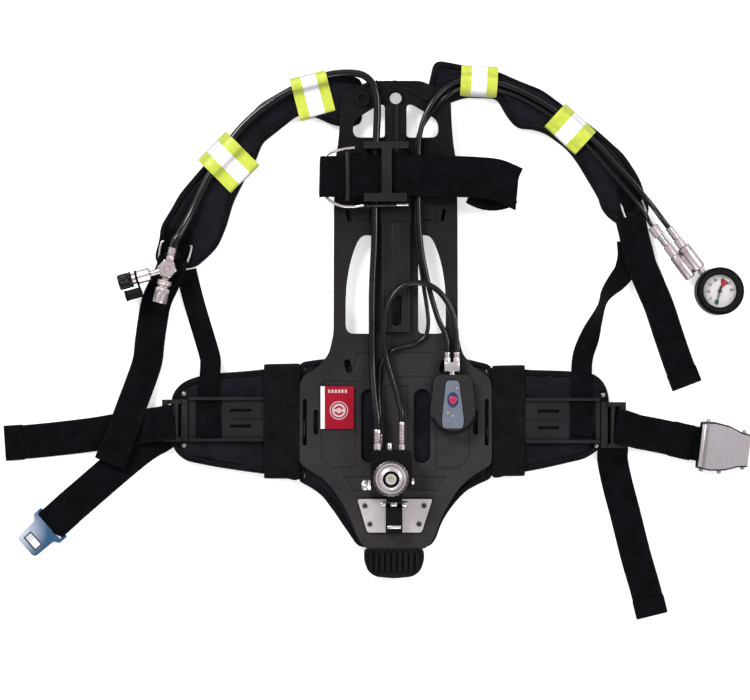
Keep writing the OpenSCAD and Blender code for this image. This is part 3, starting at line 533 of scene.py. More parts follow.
whistle_line = [[-16.5, -109.9, 24], [-16.5, -96, 24], [-18, -70, 20], [-18, -46, 19.3],
    [-15, -28, 19.3], [-6, -14, 19.3], [8, -6, 19.3], [24, -2, 19.3], [37, 6, 19.2],
    [41, 22, 18.8], [39, 44, 18], [35.5, 66, 18], [32, 90, 18.5], [28.5, 114, 19.1],
    [26.5, 138, 19.1], [26, 164, 19.1], [26, 196, 19.1], [26, 226, 19.1], [28, 242, 19.1],
    [31, 252, 18.6], [37, 263, 18.8], [45, 275, 19.2], [56, 288, 19.2], [68, 298, 19.2],
    [82, 305, 15.2], [104, 306, 15], [136, 299, 15], [162, 287, 15], [184, 274, 15],
    [206, 258, 15], [226, 241, 15], [246, 220, 15.3], [266, 197, 17], [282, 178, 20],
    [294, 162, 20.4], [302, 151.5, 18.5], [305.6, 144.9, 12.5], [308.3, 141.3, 11.5],
    [310.1, 138.9, 11.5]]
hose("medium_pressure_hose", "mp_hose", mp_line, 0.009)
hose("link_hose_run", "link_hose", link_line, 0.007)
hose("gauge_hose_run", "gauge_hose", gauge_hose_line, 0.0065)
hose("whistle_hose_run", "whistle_hose", whistle_line, 0.005)


# ---------------------------------------------------------------- webbing

class Strap:
    """Flat webbing through the points, with rounded edges and a gentle wander."""

    def __init__(self, line, width, thick, rolls=None, across=None, wander=0.0004, seed=1,
                 columns=10, step=0.004, ends=None):
        self.width = width / 1000
        self.thick = thick / 1000
        lean = rolls or [0] * len(line)
        # the roll in degrees rides along as a fourth coordinate, too small to change a length
        path = smooth([Vector((*at(*p), turn / 1e5)) for p, turn in zip(line, lean)], step)
        self.points = [p.to_3d() for p in path]
        count = len(self.points)
        self.s = [0.0]
        for a, b in zip(self.points, self.points[1:]):
            self.s.append(self.s[-1] + (b - a).length)
        self.frames = []
        rng = random.Random(seed)
        phases = [rng.uniform(0, 6.28) for _ in range(4)]
        for i, p in enumerate(self.points):
            tangent = (self.points[min(i + 1, count - 1)] - self.points[max(i - 1, 0)])
            tangent.normalize()
            side = Vector(across) if across else Vector((0, 0, 1)).cross(tangent)
            side.normalize()
            roll = math.radians(path[i].w * 1e5)
            side = math.cos(roll) * side + math.sin(roll) * tangent.cross(side)
            up = tangent.cross(side).normalized()
            self.frames.append((p, tangent, side, up))
        self.wander, self.phases, self.columns = wander, phases, columns
        self.ends = ends or (0.0, 0.0)

    def offset(self, s, v):
        a, b, c, _ = self.phases
        return self.wander * (math.sin(s * 55 + a + v * 40) + 0.6 * math.sin(s * 131 + b)
                              + 0.8 * (v / self.width) * math.sin(s * 83 + c))

    def surface(self, s, v, lift=0.0):
        """A point on the top face, s along and v across, in metres."""
        s = max(0.0, min(s, self.s[-1]))
        k = max(i for i in range(len(self.s)) if self.s[i] <= s + 1e-9)
        k = min(k, len(self.s) - 2)
        f = (s - self.s[k]) / (self.s[k + 1] - self.s[k])
        (p, _, u, n), (q, _, w, m) = self.frames[k], self.frames[k + 1]
        side, up = u.lerp(w, f), n.lerp(m, f)
        return p.lerp(q, f) + side * v + up * (self.thick / 2 + lift + self.offset(s, v))

    def build(self, name):
        half = self.width / 2
        profile = []
        for c in range(self.columns + 1):
            v = -half + self.width * c / self.columns
            edge = min(half - abs(v), self.thick) / self.thick
            profile.append((v, self.thick / 2 * (0.45 + 0.55 * min(1.0, edge * 1.4))))
        section = profile + [(v, -h) for v, h in reversed(profile)]
        points, uvs, faces = [], [], []
        size = len(section)
        last = len(self.frames) - 1
        for i, (p, t, side, up) in enumerate(self.frames):
            for v, h in section:
                slant = self.ends[0] * (1 - i / last) + self.ends[1] * i / last
                along = slant * v if i in (0, last) else 0.0
                points.append(p + side * v + up * (h + self.offset(self.s[i], v)) + t * along)
                uvs.append((self.s[i], v))
        for i in range(last):
            for k in range(size):
                a, b = i * size + k, i * size + (k + 1) % size
                faces.append((a, b, b + size, a + size))
        faces.append(tuple(range(size - 1, -1, -1)))
        faces.append(tuple(last * size + k for k in range(size)))
        return from_lists(name, points, faces, uvs)

    def sheet(self, name, node, shader):
        obj = place(self.build(name), shader, BODY, [node] if node else [])
        obj.data.set_sharp_from_angle(angle=math.radians(60))


# How far stitches stand above the cloth
SEAM_LIFT = 0.0001


def stitched(name, runs, shader=thread_grey, pitch=0.0034, size=0.0005):
    """Rows of short stitches; each run is a list of points on a surface."""
    points, faces = [], []
    for run in runs:
        path = [Vector(p) for p in run]
        total = length_of(path)
        count = max(1, int(total / pitch))
        marks = []
        travelled, index = 0.0, 0
        for k in range(count + 1):
            wanted = total * k / count
            piece = path[index + 1] - path[index]
            while index < len(path) - 2 and travelled + piece.length < wanted:
                travelled += piece.length
                index += 1
                piece = path[index + 1] - path[index]
            f = (wanted - travelled) / max(piece.length, 1e-9)
            marks.append(path[index] + piece * f)
        for a, b in zip(marks, marks[1:]):
            along = b - a
            if along.length < 1e-6:
                continue
            side = along.cross(Vector((0, 0, 1))).normalized() * size
            lift = Vector((0, 0, size * 0.9))
            start = len(points)
            points += [a + along * 0.12, a + along * 0.3 + side, a + along * 0.3 - side,
                       a + along * 0.7 + side, a + along * 0.7 - side, a + along * 0.88,
                       a + along * 0.35 + lift, a + along * 0.65 + lift]
            for face in ((0, 1, 6), (0, 6, 2), (1, 3, 7, 6), (2, 6, 7, 4), (3, 5, 7), (4, 7, 5),
                         (0, 2, 4, 5, 3, 1)):
                faces.append(tuple(start + k for k in face))
    return place(from_lists(name, points, faces), shader)


def seam_box(strap, s0, s1):
    """A stitched box with a cross in it, between two places along a strap."""
    v = strap.width / 2 - 0.003

    def line(a, b):
        return [strap.surface(*(p + (q - p) * k / 8 for p, q in zip(a, b)), SEAM_LIFT)
                for k in range(9)]
    corners = [(s0, -v), (s0, v), (s1, v), (s1, -v)]
    sides = [line(corners[k], corners[(k + 1) % 4]) for k in range(4)]
    return sides + [line(corners[0], corners[2]), line(corners[1], corners[3])]


def laid(name, node, line, width, thick=1.6, shader=web_cloth, slot="webbing", **more):
    """A strap as it lies, from the points on its middle line, in millimetres."""
    strap = Strap(line, width, thick, **more)
    strap.sheet(name, node, shader)
    return strap


pull_left = laid("pull_webbing_left", "pull_strap_left", [[-264, 100, 17.2], [-266, 92, 16.9],
    [-269, 84, 13.5], [-276, 70, 8], [-286, 48, 4], [-291, 22, 3.5], [-294, 0, 3.5],
    [-297, -24, 3.5], [-306, -52, 7], [-314, -74, 11], [-322, -96, 11.5], [-332, -122, 10],
    [-342, -146, 8]], 36, seed=2)
pull_right = laid("pull_webbing_right", "pull_strap_right", [[283, 150, 17.4], [284, 143, 17.4],
    [286, 136, 15], [290, 122, 7.5], [294, 108, 7], [298, 92, 7.5], [304, 78, 7], [311, 62, 4.5],
    [319, 44, 2], [331, 8, 2], [342, -24, 2], [348, -40, 2], [353, -53, 2]], 36, seed=3)
laid("cross_webbing", None, [[-70, 156, 10.8], [-30, 157, 10.8], [0, 157, 10.8], [30, 157, 10.8],
    [74, 156, 10.8]], 30, 1.0, seed=23)
laid("loop_webbing_left", None, [[-256.5, 135, 13.4], [-258.5, 125, 13.9], [-259.6, 121, 15.9],
    [-260.2, 117, 16.0], [-261, 113, 13.8], [-261.6, 109, 12.9]], 31.5, 0.8, seed=21)
laid("loop_webbing_right", None, [[278.3, 187, 13.4], [281.5, 177.5, 13.9], [282.9, 173.4, 15.9],
    [284.4, 168.8, 16.0], [285.9, 164.4, 13.8], [287.2, 160.5, 12.9]], 26, 0.8, seed=22)
laid("anchor_webbing_left", "anchor_strap_left", [[-250, 86.5, 7], [-247, 72, 2], [-241, 48, 1.6],
    [-231, 14, 1.6], [-222, -16, 2], [-220.5, -26, 7.5], [-220.5, -35, 13], [-221, -45, 13.6],
    [-222, -60, 13.4], [-222, -114, 13.4]], 25, 1.4, seed=4)
laid("anchor_webbing_right", "anchor_strap_right", [[281, 122, 1.2], [282, 104, 1.2],
    [278, 86, 2], [271, 76, 6], [263, 66, 9.4], [256, 57, 12.2], [250, 46, 13.3], [243, 28, 12.2],
    [236, 8, 7.6], [229, -12, 2.5], [226, -25, 7.5], [225, -33, 12.8], [225, -43, 13.6],
    [226, -60, 13.4], [226, -114, 13.4]], 25, 1.4, rolls=[0, 0, 3, 20, 40, 60, 75, 60, 30, 5, 0,
    0, 0, 0, 0], seed=5)
belt_left = laid("belt_webbing_left", "belt_tail_left", [[-263, -95, 22.3], [-271, -96, 21],
    [-281, -98, 17.5], [-294, -100, 10], [-310, -103, 5.5], [-330, -106, 4], [-360, -111, 3],
    [-400, -116, 1.6], [-440, -120, 1.6], [-469, -122, 1.6]], 41, seed=6)
laid("tongue_webbing", "tongue_strap", [[-268, -102.5, 9.5], [-278.5, -111, 6.5],
    [-284, -114.5, 4], [-294, -120, 2], [-310, -131, 1.6], [-340, -156, 1.6], [-370, -182, 3],
    [-390, -199.5, 6.5], [-402, -210.5, 8.6], [-411, -218.5, 8.7], [-412.5, -219.8, 8.1],
    [-413, -220.3, 6], [-412.5, -219.8, 3.9], [-411, -218.5, 3.3], [-402, -210.5, 2.6],
    [-392, -201.5, 2.2]], 40.6, seed=7, wander=0.0001, step=0.002)
belt_right = laid("belt_webbing_right", "belt_right", [[265, -100, 22.3], [272, -101, 21],
    [281, -104, 19], [294, -108, 11], [310, -111, 6], [334, -116, 4], [356, -121, 3.6],
    [386, -125, 3.6]], 41, seed=8)
tail_right = laid("tail_webbing_right", "belt_tail_right", [[262, -112, 9.6], [262.5, -122, 9.4],
    [263, -131, 7.6], [263, -139, 4], [265, -152, 1.8], [271, -178, 1.6], [280, -212, 1.6],
    [291, -256, 1.6], [303, -298, 1.6], [311, -330, 1.6]], 37, seed=9)
laid("adjuster_webbing_right", None, [[249.5, -99.5, 11], [256, -99.5, 10.8], [263, -99.5, 10.7],
    [270, -99.5, 10.8], [277.5, -99.5, 11]], 50, 1.2, seed=24)


def hem(name, strap, start, end):
    """The folded end of a strap: a second layer on top, a little wider."""
    line = []
    for k in range(6):
        q = strap.surface(start + (end - start) * k / 5, 0, 0.0004) * 1000 - at(0, 0) * 1000
        line.append(list(q))
    laid(name, None, line, strap.width * 1000 + 1.6, 1.4, seed=25)


for name, strap, length in (("belt_hem_left", belt_left, 0.023),
                            ("tail_hem_right", tail_right, 0.022),
                            ("pull_hem_left", pull_left, 0.020),
                            ("pull_hem_right", pull_right, 0.020)):
    hem(name, strap, strap.s[-1] - length, strap.s[-1] - 0.0003)
hem("belt_lap_right", belt_right, 0.074, 0.100)
laid("cylinder_webbing", "cylinder_strap", [[-88.4, 197, 22], [-87.8, 197, 27.5],
    [-84.5, 197, 31.2], [-70, 197, 32], [-46, 197, 32], [-30, 198, 31], [14, 199, 31],
    [40, 198, 32], [75, 197, 31], [100, 196, 29], [120, 194, 30], [135, 188, 32.5],
    [147, 182.5, 31.5]], 49, 2.2, seed=10, wander=0.0005, ends=(0, -0.36))
laid("cylinder_webbing_fold", None, [[97, 188, 24], [103, 185, 20], [111, 182.3, 18],
    [120, 181.6, 18.5], [128, 183, 21.5], [131, 185, 25]], 49, 2.2, seed=11)

# a row of printed dashes on the crown of the medium-pressure hose
to_crown = Vector((-0.0004, 0.0006, 0.0044))
hose_top = [q + to_crown for q in smooth([at(*p) for p in mp_line[20:26]])]
stitched("hose_print", [hose_top[k:k + 5] for k in range(4, len(hose_top) - 6, 7)], label_grey,
    0.0040, 0.0006)

# seams: boxes below the slides and a line along both edges, which ends at the buckle
buckle_edge = at(361, 0).x
seams = seam_box(pull_left, 0.004, 0.030) + seam_box(pull_right, 0.004, 0.030)
for strap in (pull_left, pull_right, belt_left, tail_right, belt_right):
    v = strap.width / 2 - 0.0016
    for side in (-v, v):
        edge = [strap.surface(strap.s[i], side, SEAM_LIFT) for i in range(0, len(strap.s), 3)]
        seams.append([q for q in edge if q.x < buckle_edge])
stitched("webbing_stitches", seams)


# ---------------------------------------------------------------- pads

def outline_points(outline, r=8.0, n=4):
    """An outline with its corners eased, as points 3.5 mm apart in the laid-out set."""
    points = [Vector((p[0], p[1])) for p in outline]
    out = []
    for i, p in enumerate(points):
        a, b = points[i - 1], points[(i + 1) % len(points)]
        s = p + (a - p).normalized() * min(r, 0.48 * (a - p).length)
        e = p + (b - p).normalized() * min(r, 0.48 * (b - p).length)
        for k in range(n + 1):
            t = k / n
            q = s * (1 - t) ** 2 + p * 2 * t * (1 - t) + e * t * t
            out.append(at(q.x, q.y))
    even = []
    around = list(zip(out, out[1:] + out[:1]))
    total = sum((q - p).length for p, q in around)
    step = total / round(total / 0.0035)
    carry = 0.0
    for p, q in around:
        d = (q - p).length
        while carry < d:
            even.append(p.lerp(q, carry / d))
            carry += step
        carry -= d
    return even


def near(point, path):
    """Distance in plan from a point to a line of points."""
    best = 1.0
    for a, b in zip(path, path[1:]):
        if min(abs(point.x - a.x), abs(point.x - b.x)) - abs(b.x - a.x) > best:
            continue
        d = Vector((b.x - a.x, b.y - a.y))
        w = Vector((point.x - a.x, point.y - a.y))
        t = max(0.0, min(1.0, w.dot(d) / max(d.length_squared, 1e-12)))
        best = min(best, (w - d * t).length)
    return best


def inflate(obj, cap, pressure=4.0, frames=20):
    """Lets the skin of a pad swell under a little pressure, each point by cap at most."""
    before = [v.co.copy() for v in obj.data.vertices]
    cloth = obj.modifiers.new("cloth", "CLOTH")
    cloth.settings.use_pressure = True
    cloth.settings.uniform_pressure_force = pressure
    cloth.settings.effector_weights.gravity = 0
    cloth.point_cache.frame_start = 1
    cloth.point_cache.frame_end = frames
    for f in range(1, frames + 1):
        scene.frame_set(f)
    result = obj.evaluated_get(bpy.context.evaluated_depsgraph_get())
    moved = [v.co.copy() for v in result.data.vertices]
    obj.modifiers.remove(cloth)
    scene.frame_set(1)
    for vertex, old, new in zip(obj.data.vertices, before, moved):
        shift = new - old
        if shift.length > cap:
            shift = shift.normalized() * cap
        vertex.co = old + shift


# Heights in a pad, in metres: its blank before it swells, the stitches in its channels and
# those in its binding tape, which run a little inside the edge
BLANK = (0.0026, 0.0094)
CHANNEL_SEAM, TRIM_SEAM, TRIM_SEAM_INSET = 0.0102, 0.0111, 0.0035

# Section of the binding tape: distance past the pad's edge and height, in millimetres
TRIM = [(-5, 10.6), (-2.5, 11.2), (0.2, 10.6), (1.6, 8.6), (1.9, 6.0), (1.6, 3.2), (0.2, 1.2),
    (-2.5, 0.7), (-5, 1.2), (-3, 2.4), (0, 6.0), (-3, 9.6)]


def outward(loop, i):
    """Away from the middle of a loop at one of its points, in plan."""
    tangent = (loop[(i + 1) % len(loop)] - loop[i - 1]).normalized()
    return Vector((tangent.y, -tangent.x, 0))


def swept_trim(name, loop):
    """Binding tape round the edge of a pad."""
    count = len(loop)
    points, uvs, faces = [], [], []
    travelled = 0.0
    for i, p in enumerate(loop):
        out = outward(loop, i)
        around = 0.0
        for j, (past, z) in enumerate(TRIM):
            wobble = 0.00018 * math.sin(travelled * 90 + j)
            points.append(p + out * (past / 1000 + wobble) + Vector((0, 0, z / 1000)))
            uvs.append((travelled, around))
            around += 0.0018
        travelled += (loop[(i + 1) % count] - p).length
    size = len(TRIM)
    for i in range(count):
        here, there = i * size, (i + 1) % count * size
        for k in range(size):
            m = (k + 1) % size
            faces.append((here + k, here + m, there + m, there + k))
    return from_lists(name, points, faces, uvs)


def area_sign(points):
    return sum(a.x * b.y - b.x * a.y for a, b in zip(points, points[1:] + points[:1]))


def shape_pad(obj, loop, lines, top, phases):
    """Rounds a pad's edge, presses its seams in and lays small folds over it."""
    middle, rounding = 0.006, 0.011
    rim = loop + [loop[0]]
    for vertex in obj.data.vertices:
        co = vertex.co
        edge = near(co, rim)
        f = min(edge / rounding, 1.0)
        f = 0.5 + 0.5 * math.sqrt(1 - (1 - f) ** 2)
        face = 1 if co.z > middle else -1
        z = middle + (co.z - middle) * f
        across = math.sin(co.x * 90 + phases[0] + 2 * math.sin(co.y * 40 + phases[1]))
        along = math.sin(co.y * 120 + phases[2] + 1.5 * math.sin(co.x * 60 + phases[3]))
        z += 0.00045 * (across + along) * min(edge / 0.006, 1.0)
        for line in lines:
            d = near(co, line)
            if d < 0.014:
                # a groove 2.1 mm deep and, 8 mm beside it, a swell of 0.6 mm
                z += -face * 0.0021 * math.exp(-(d / 0.0030) ** 2)
                z += face * 0.0006 * math.exp(-((d - 0.008) / 0.004) ** 2)
        co.z = max(0.0002, min(top, z))
    obj.data.shade_smooth()


def pad(name, node, outline, channels, crown, seed):
    """A swollen cushion with binding round it; channels are the lines of its seams."""
    loop = outline_points(outline)
    if area_sign(loop) < 0:
        loop.reverse()
    points = [Vector((p.x, p.y, z)) for z in BLANK for p in loop]
    count = len(loop)
    faces = [tuple(range(count - 1, -1, -1)), tuple(range(count, 2 * count))]
    faces += [(i, (i + 1) % count, count + (i + 1) % count, count + i) for i in range(count)]
    obj = from_lists(name, points, faces, flat=True)
    collection.objects.link(obj)
    obj.data.remesh_voxel_size = 0.005
    bpy.context.view_layer.objects.active = obj
    obj.select_set(True)
    bpy.ops.object.voxel_remesh()
    inflate(obj, 0.005)
    modifier = obj.modifiers.new("finer", "SUBSURF")
    modifier.levels = modifier.render_levels = 1
    bpy.ops.object.modifier_apply(modifier=modifier.name)
    obj.select_set(False)
    lines = [smooth([at(*p) for p in line], 0.004) for line in channels]
    rng = random.Random(seed)
    shape_pad(obj, loop, lines, crown / 1000, [rng.uniform(0, 6.28) for _ in range(4)])
    trim = swept_trim(name + "_trim", loop)
    collection.objects.link(trim)
    obj.data.materials.append(pad_cloth.material)
    trim.data.materials.append(trim_cloth.material)
    with bpy.context.temp_override(active_object=obj, object=obj,
                                   selected_editable_objects=[obj, trim]):
        bpy.ops.object.join()
    place(obj, None, BODY, [node])
    rows = [[Vector((p.x, p.y, CHANNEL_SEAM)) for p in line] for line in lines]
    inner = [p - outward(loop, i) * TRIM_SEAM_INSET + Vector((0, 0, TRIM_SEAM))
             for i, p in enumerate(loop)]
    stitched(name + "_stitches", rows + [inner + [inner[0]]])


pad_left = [[-40, 316], [-78, 322], [-124, 306], [-160, 285], [-192, 251], [-229, 209],
    [-257, 176], [-268, 156], [-279, 138], [-280, 122], [-286, 104], [-284, 96], [-262, 90],
    [-239, 91], [-225, 103], [-213, 116], [-203, 140], [-194, 170], [-178, 202], [-166, 222],
    [-160, 240], [-136, 259], [-115, 275], [-90, 271], [-66, 262], [-40, 262]]
pad_right = [[42, 304], [50, 337], [79, 332], [125, 323], [178, 301], [242, 254], [274, 226],
    [293, 197], [302, 172], [306, 158], [296, 142], [280, 140], [266, 145], [254, 156],
    [247, 174], [236, 193], [222, 216], [208, 234], [184, 252], [168, 257], [149, 258],
    [137, 272], [125, 294], [79, 296], [68, 292], [44, 284]]
lumbar = [[-113, -26], [-85, -22], [85, -22], [117, -29], [117, -163], [103, -168], [86, -177],
    [76, -187], [68, -197], [62, -206], [56, -216], [52, -226], [49, -235], [42, -245],
    [-42, -245], [-49, -235], [-55, -226], [-62, -216], [-68, -206], [-75, -197], [-82, -187],
    [-92, -178], [-109, -168], [-113, -166]]
waist_left = [[-113.3, -27], [-157, -35], [-209, -39], [-236, -43], [-254, -50], [-264, -62],
    [-266, -72], [-266, -118], [-262, -131], [-250, -141], [-212, -149], [-147, -158],
    [-113.3, -166]]
waist_right = [[117.3, -29], [160, -35], [211, -37], [238, -39], [248, -46], [254, -56],
    [257, -70], [257, -112], [252, -122], [242, -130], [229, -139], [184, -149], [139, -158],
    [117.3, -163]]
pad("shoulder_cushion_left", "shoulder_pad_left", pad_left, [[[-60, 302], [-110, 288],
    [-150, 262], [-186, 222], [-212, 180], [-232, 140], [-246, 108]]], 12.2, 1)
pad("shoulder_cushion_right", "shoulder_pad_right", pad_right, [[[62, 322], [110, 316],
    [150, 300], [200, 266], [240, 228], [268, 192], [284, 158]], [[90, 306], [136, 290],
    [170, 270], [206, 248], [236, 214], [262, 170]]], 12.2, 2)
pad("lumbar_cushion", "lumbar_pad", lumbar, [[[-96, -40], [-96, -160]], [[99, -40], [99, -158]]],
    12.0, 3)
pad("waist_cushion_left", "waist_pad_left", waist_left, [[[-120, -46], [-180, -52], [-250, -62]],
    [[-120, -143], [-180, -138], [-250, -126]]], 12.2, 4)
pad("waist_cushion_right", "waist_pad_right", waist_right, [[[122, -46], [180, -52], [244, -60]],
    [[122, -143], [180, -137], [240, -120]]], 12.2, 5)


# ---------------------------------------------------------------- bands

def band(name, node, outer, inner, length, profile, seed):
    """A reflective band; profile gives distance from the outer edge and height."""
    a, b = Vector(outer), Vector(inner)
    d = (b - a).normalized()
    line = [(a.x + d.x * s, a.y + d.y * s, z) for s, z in profile]
    strap = Strap(line, length, 1.3, across=(-d.y, d.x, 0), seed=seed, step=0.0025,
                  columns=16, wander=0.00025)
    strap.sheet(name, node, band_cloth)


band("reflective_left_a", "bands_left", (-103, 317), (-92, 274), 44, [(-2.6, 3), (-3, 10),
    (-2.6, 17), (0, 21.5), (5, 22.7), (10, 21.8), (14, 17.5), (19, 14), (30, 13.4), (42, 13.2),
    (46, 11.5), (47, 3)], 21)
band("reflective_left_b", None, (-217, 234), (-180, 197), 48, [(-1.5, 3), (-1.8, 10), (0, 13),
    (3, 15.5), (8, 20.5), (15, 22.5), (23, 21.5), (28, 17), (34, 13.8), (46, 13.3), (52, 12.5),
    (54, 9), (54, 3)], 22)
band("reflective_right_a", "bands_right", (103, 329), (101, 296), 44, [(-1.6, 3), (-1.8, 10),
    (0, 13), (4, 13.6), (8, 15.5), (12, 19.5), (17, 20.6), (23, 19.8), (28, 17.5), (32, 13.5),
    (34, 10), (34.5, 3)], 23)
band("reflective_right_b", None, (223, 268), (200, 243), 50, [(-1.6, 3), (-1.8, 10), (0, 13),
    (3, 15), (7, 19.5), (12, 20.6), (19, 19.5), (25, 17.5), (30, 14.2), (34, 12.5), (35.5, 9),
    (36, 3)], 24)


# ---------------------------------------------------------------- hard parts

finished("backplate", plate_black, 0.9, segments=3)
finished("bumper_foot", foot_rubber, 1.0, segments=3)
finished("strap_keeper", hard_black, 1.0, segments=3)
finished("bracket_plate", sheet_steel, 0.4)
finished("bracket_block", gloss_black, 0.6)
finished("name_plate", red_gloss, 0.3)
finished("reducer_body", gloss_black, 1.6, segments=3)
finished("inlet_seal", case_rubber, 0.05)
finished("device_case", device_black, 2.8, segments=4)
finished("device_label", label_grey, 0.3)
finished("device_lamps", lamp_clear, 0.4)
finished("wing_left", hard_black, 0.7)
finished("wing_right", hard_black, 0.7)
finished("adjusters", hard_black, 0.8)
finished("gauge_case", foot_rubber, 1.6, segments=3)
finished("gauge_lens", lens_clear, 0.2)
finished("gauge_needle", dial_ink, 0.15, "gauge_needle")
finished("buckle_base", dark_steel, 0.5)
finished("buckle_pin", steel, 0.3)
finished("buckle_spring", steel, 0.05)
finished("buckle_flap", brushed_steel, 0.7, "buckle_flap", segments=3)
finished("buckle_tongue", blue_steel_painted_highlight, 0.9, "buckle_tongue", segments=3)


# Height of the plate's upper face, in millimetres
DECK = 16.5

# moulded ribs and lugs at the head of the plate
ribs = Turned()
ribs.add(upright(0.6, 292), [(DECK - 1, 8.6), (DECK + 1.6, 8.6), (DECK + 2.2, 9.2),
    (DECK + 2.2, 10.4), (DECK + 1.6, 11), (DECK - 1, 11)], hollow=True)
for x, y, radius in ((-20, 304.5, 8), (0.6, 308.2, 5.2), (23, 304.5, 8.5)):
    ribs.add(upright(x, y), [(12.7, radius - 0.6), (13.3, radius), (DECK + 0.8, radius),
        (DECK + 1.4, radius - 0.7), (DECK + 1.4, radius - 2.2), (DECK + 0.4, radius - 2.8),
        (DECK + 0.4, 0.02)])
for x, y, turn, long in ((25.5, 297, -34, 30), (30.5, 300.5, -34, 30), (-15, 308, -38, 17),
                         (-30, 309, 25, 14)):
    ribs.block(upright(x, y, turn), (-long / 2, -0.9, DECK - 1), (long / 2, 0.9, DECK + 1.9), 0.5)
for places, y, half, height in (((36, 41, 46, 51, 56), 234, 9, 1.6),
                                ((-52, -44, -30, 34, 42, 50), 152, 8, 1.4)):
    for x in places:
        ribs.block(upright(x, y), (-0.7, -half, DECK - 1), (0.7, half, DECK + height), 0.4)
ribs.done("plate_ribs", plate_black, "plate")
slider = Turned()
slider.block(upright(0, 0), (-57.6, 168, 33.9), (-53.2, 226, 36.6), 0.8)
slider.done("strap_slider", hard_black, "plate")

# bracket fixings: four screws, three rollers and a bar
screws = Turned()
for x, y in ((-35, -196), (-29, -218), (36, -196), (30, -218)):
    screws.add(upright(x, y), [(15, 1.7), (DECK + 2.6, 1.7), (DECK + 2.6, 3.0), (DECK + 3.6, 2.9),
        (DECK + 4.1, 2.2), (DECK + 4.1, 1.7), (DECK + 3.2, 1.6), (DECK + 3.2, 0.02)], sides=36)
    for turn in (34 + x, 124 + x):
        screws.block(upright(x, y, turn), (-2.4, -0.35, DECK + 2.5), (2.4, 0.35, DECK + 2.62),
                     0.02)
screws.done("bracket_screws", dark_steel, "steel", node="bracket_fasteners")
pins = Turned()
for x, y, z, long, radius, edge in ((-16, -193, 34.5, 6, 3.0, 0.7), (-4.5, -193, 34.5, 8, 3.5, 0.8),
                                    (9, -193, 34.5, 7, 4.0, 0.8), (-8, -220, 36.5, 16, 2.5, 0.5)):
    pins.add(lying(x, y, z, 0), barrel(0, long, radius, edge))
pins.done("bracket_pins", bright_steel, "steel")

# ports, plugs and crimped hose ends
ends = Turned()


def crimped(spot, radius, stem, z0, z1, nut, inner):
    """A swaged hose end: a stem, a hexagon nut, then a sleeve with pressed rings."""
    ends.add(spot, [(stem, inner), (z0 - 0.2, inner)], sides=36)
    ends.add(spot, barrel(z0, z0 + nut, radius, radius * 0.13), hexagon(radius * 1.76))
    collar = z0 + nut
    line = [(collar + 0.1, radius * 0.72), (collar + 1.2, radius * 0.72),
            (collar + 1.5, radius * 0.9)]
    z = collar + 3
    while z < z1 - 3.4:
        line += [(z, radius * 0.98), (z + 0.5, radius * 0.88), (z + 1.7, radius * 0.88),
                 (z + 2.2, radius * 0.98)]
        z += 3.6
    ends.add(spot, line + [(z1 - 0.6, radius * 0.98), (z1, radius * 0.9)])


# Turns of the tee's arms: towards the hose, the upper and the lower coupling
HOSE_ARM, UPPER_ARM, LOWER_ARM = 76, 196, 256


def arm(turn):
    return lying(-270, 87, 27.5, turn)


crimped(lying(-20, -134, 35, 90), 4.8, 0, 6, 30, 7, 2.9)
crimped(lying(-16.5, -134, 24, 90), 3.0, 0, 6, 24, 5, 1.9)
crimped(lying(9, -134, 35, 90), 4.0, 0, 6, 39, 6, 2.4)
crimped(arm(HOSE_ARM), 5.25, 10, 10.2, 26, 5.5, 4.0)
manifold = upright(350.8, 96.8, -53.13, 11.5)


def along_manifold(x, y, turn=0):
    """A frame whose z axis lies along the manifold, away from the gauge at a turn of 180."""
    return (manifold @ Matrix.Translation((x / 1000, y / 1000, 0))
            @ Matrix.Rotation(math.radians(turn), 4, "Z") @ Matrix.Rotation(math.pi / 2, 4, "Y"))


ends.add(along_manifold(-16, 7.3, 180), barrel(0.1, 11.8, 5.5, 0.5), hexagon(9.9))
ends.add(along_manifold(-28, 7.3, 180), [(0, 3.8), (1.5, 3.8), (1.8, 4.5), (6, 4.5), (6.4, 4.1),
    (8, 4.1), (8.4, 4.5), (12, 4.5), (12.4, 4.1), (14, 4.1), (14.4, 4.5), (16.6, 4.5), (17, 4.1)])
ends.add(along_manifold(-14, -7.3, 180), barrel(0.1, 14.8, 5.5, 0.5), hexagon(9.9))
ends.add(along_manifold(-29, -7.3, 180), [(0, 3.5), (1.5, 3.5), (1.9, 4.2), (6, 4.2), (6.5, 3.7),
    (8, 3.7), (8.5, 4.2), (14.8, 4.2)])
ends.add(along_manifold(-44, -7.3, 180), barrel(0, 13.8, 6.5, 0.8), hexagon(11.6))
ends.done("crimped_ends", steel, "steel", node="hose_ends")

valve = Turned()
valve.add(lying(-28, -170, 34, 180), barrel(0, 3, 7, 0.6), hexagon(12.4))
valve.add(lying(-28, -170, 34, 180), [(3, 5.4), (3.8, 5.4), (4, 6.1), (4.4, 6.5), (8.8, 6.5),
    (9.2, 6.0), (10.2, 5.8), (10.5, 5.4), (10.5, 2.2), (9.6, 2.0), (9.6, 0.02)],
    knurl(30, 0.35, 4.3, 9), sides=180)
valve.done("relief_valve_turned", bright_steel, "steel", node="relief_valve")
plugs = Turned()
plugs.add(lying(21, -165.5, 34, 0), barrel(0, 2.6, 4.5, 0.4) + [(3.5, 2.6), (3.5, 1.6),
    (2.4, 1.5), (2.4, 0.02)], hexagon(8.0))
plugs.add(lying(-5.5, -133.9, 33, 90), [(0, 1.9), (5.9, 1.9), (6, 3.1), (6.4, 3.5), (12, 3.5),
    (13.2, 3.1), (13.8, 2.0), (14, 0.02)], knurl(20, 0.25, 6.5, 11), sides=120)
plugs.done("reducer_plugs_turned", bright_steel, "steel", node="reducer_plugs")

# the inlet: nose, filter and the handwheel round it
inlet = upright(-4, -161)
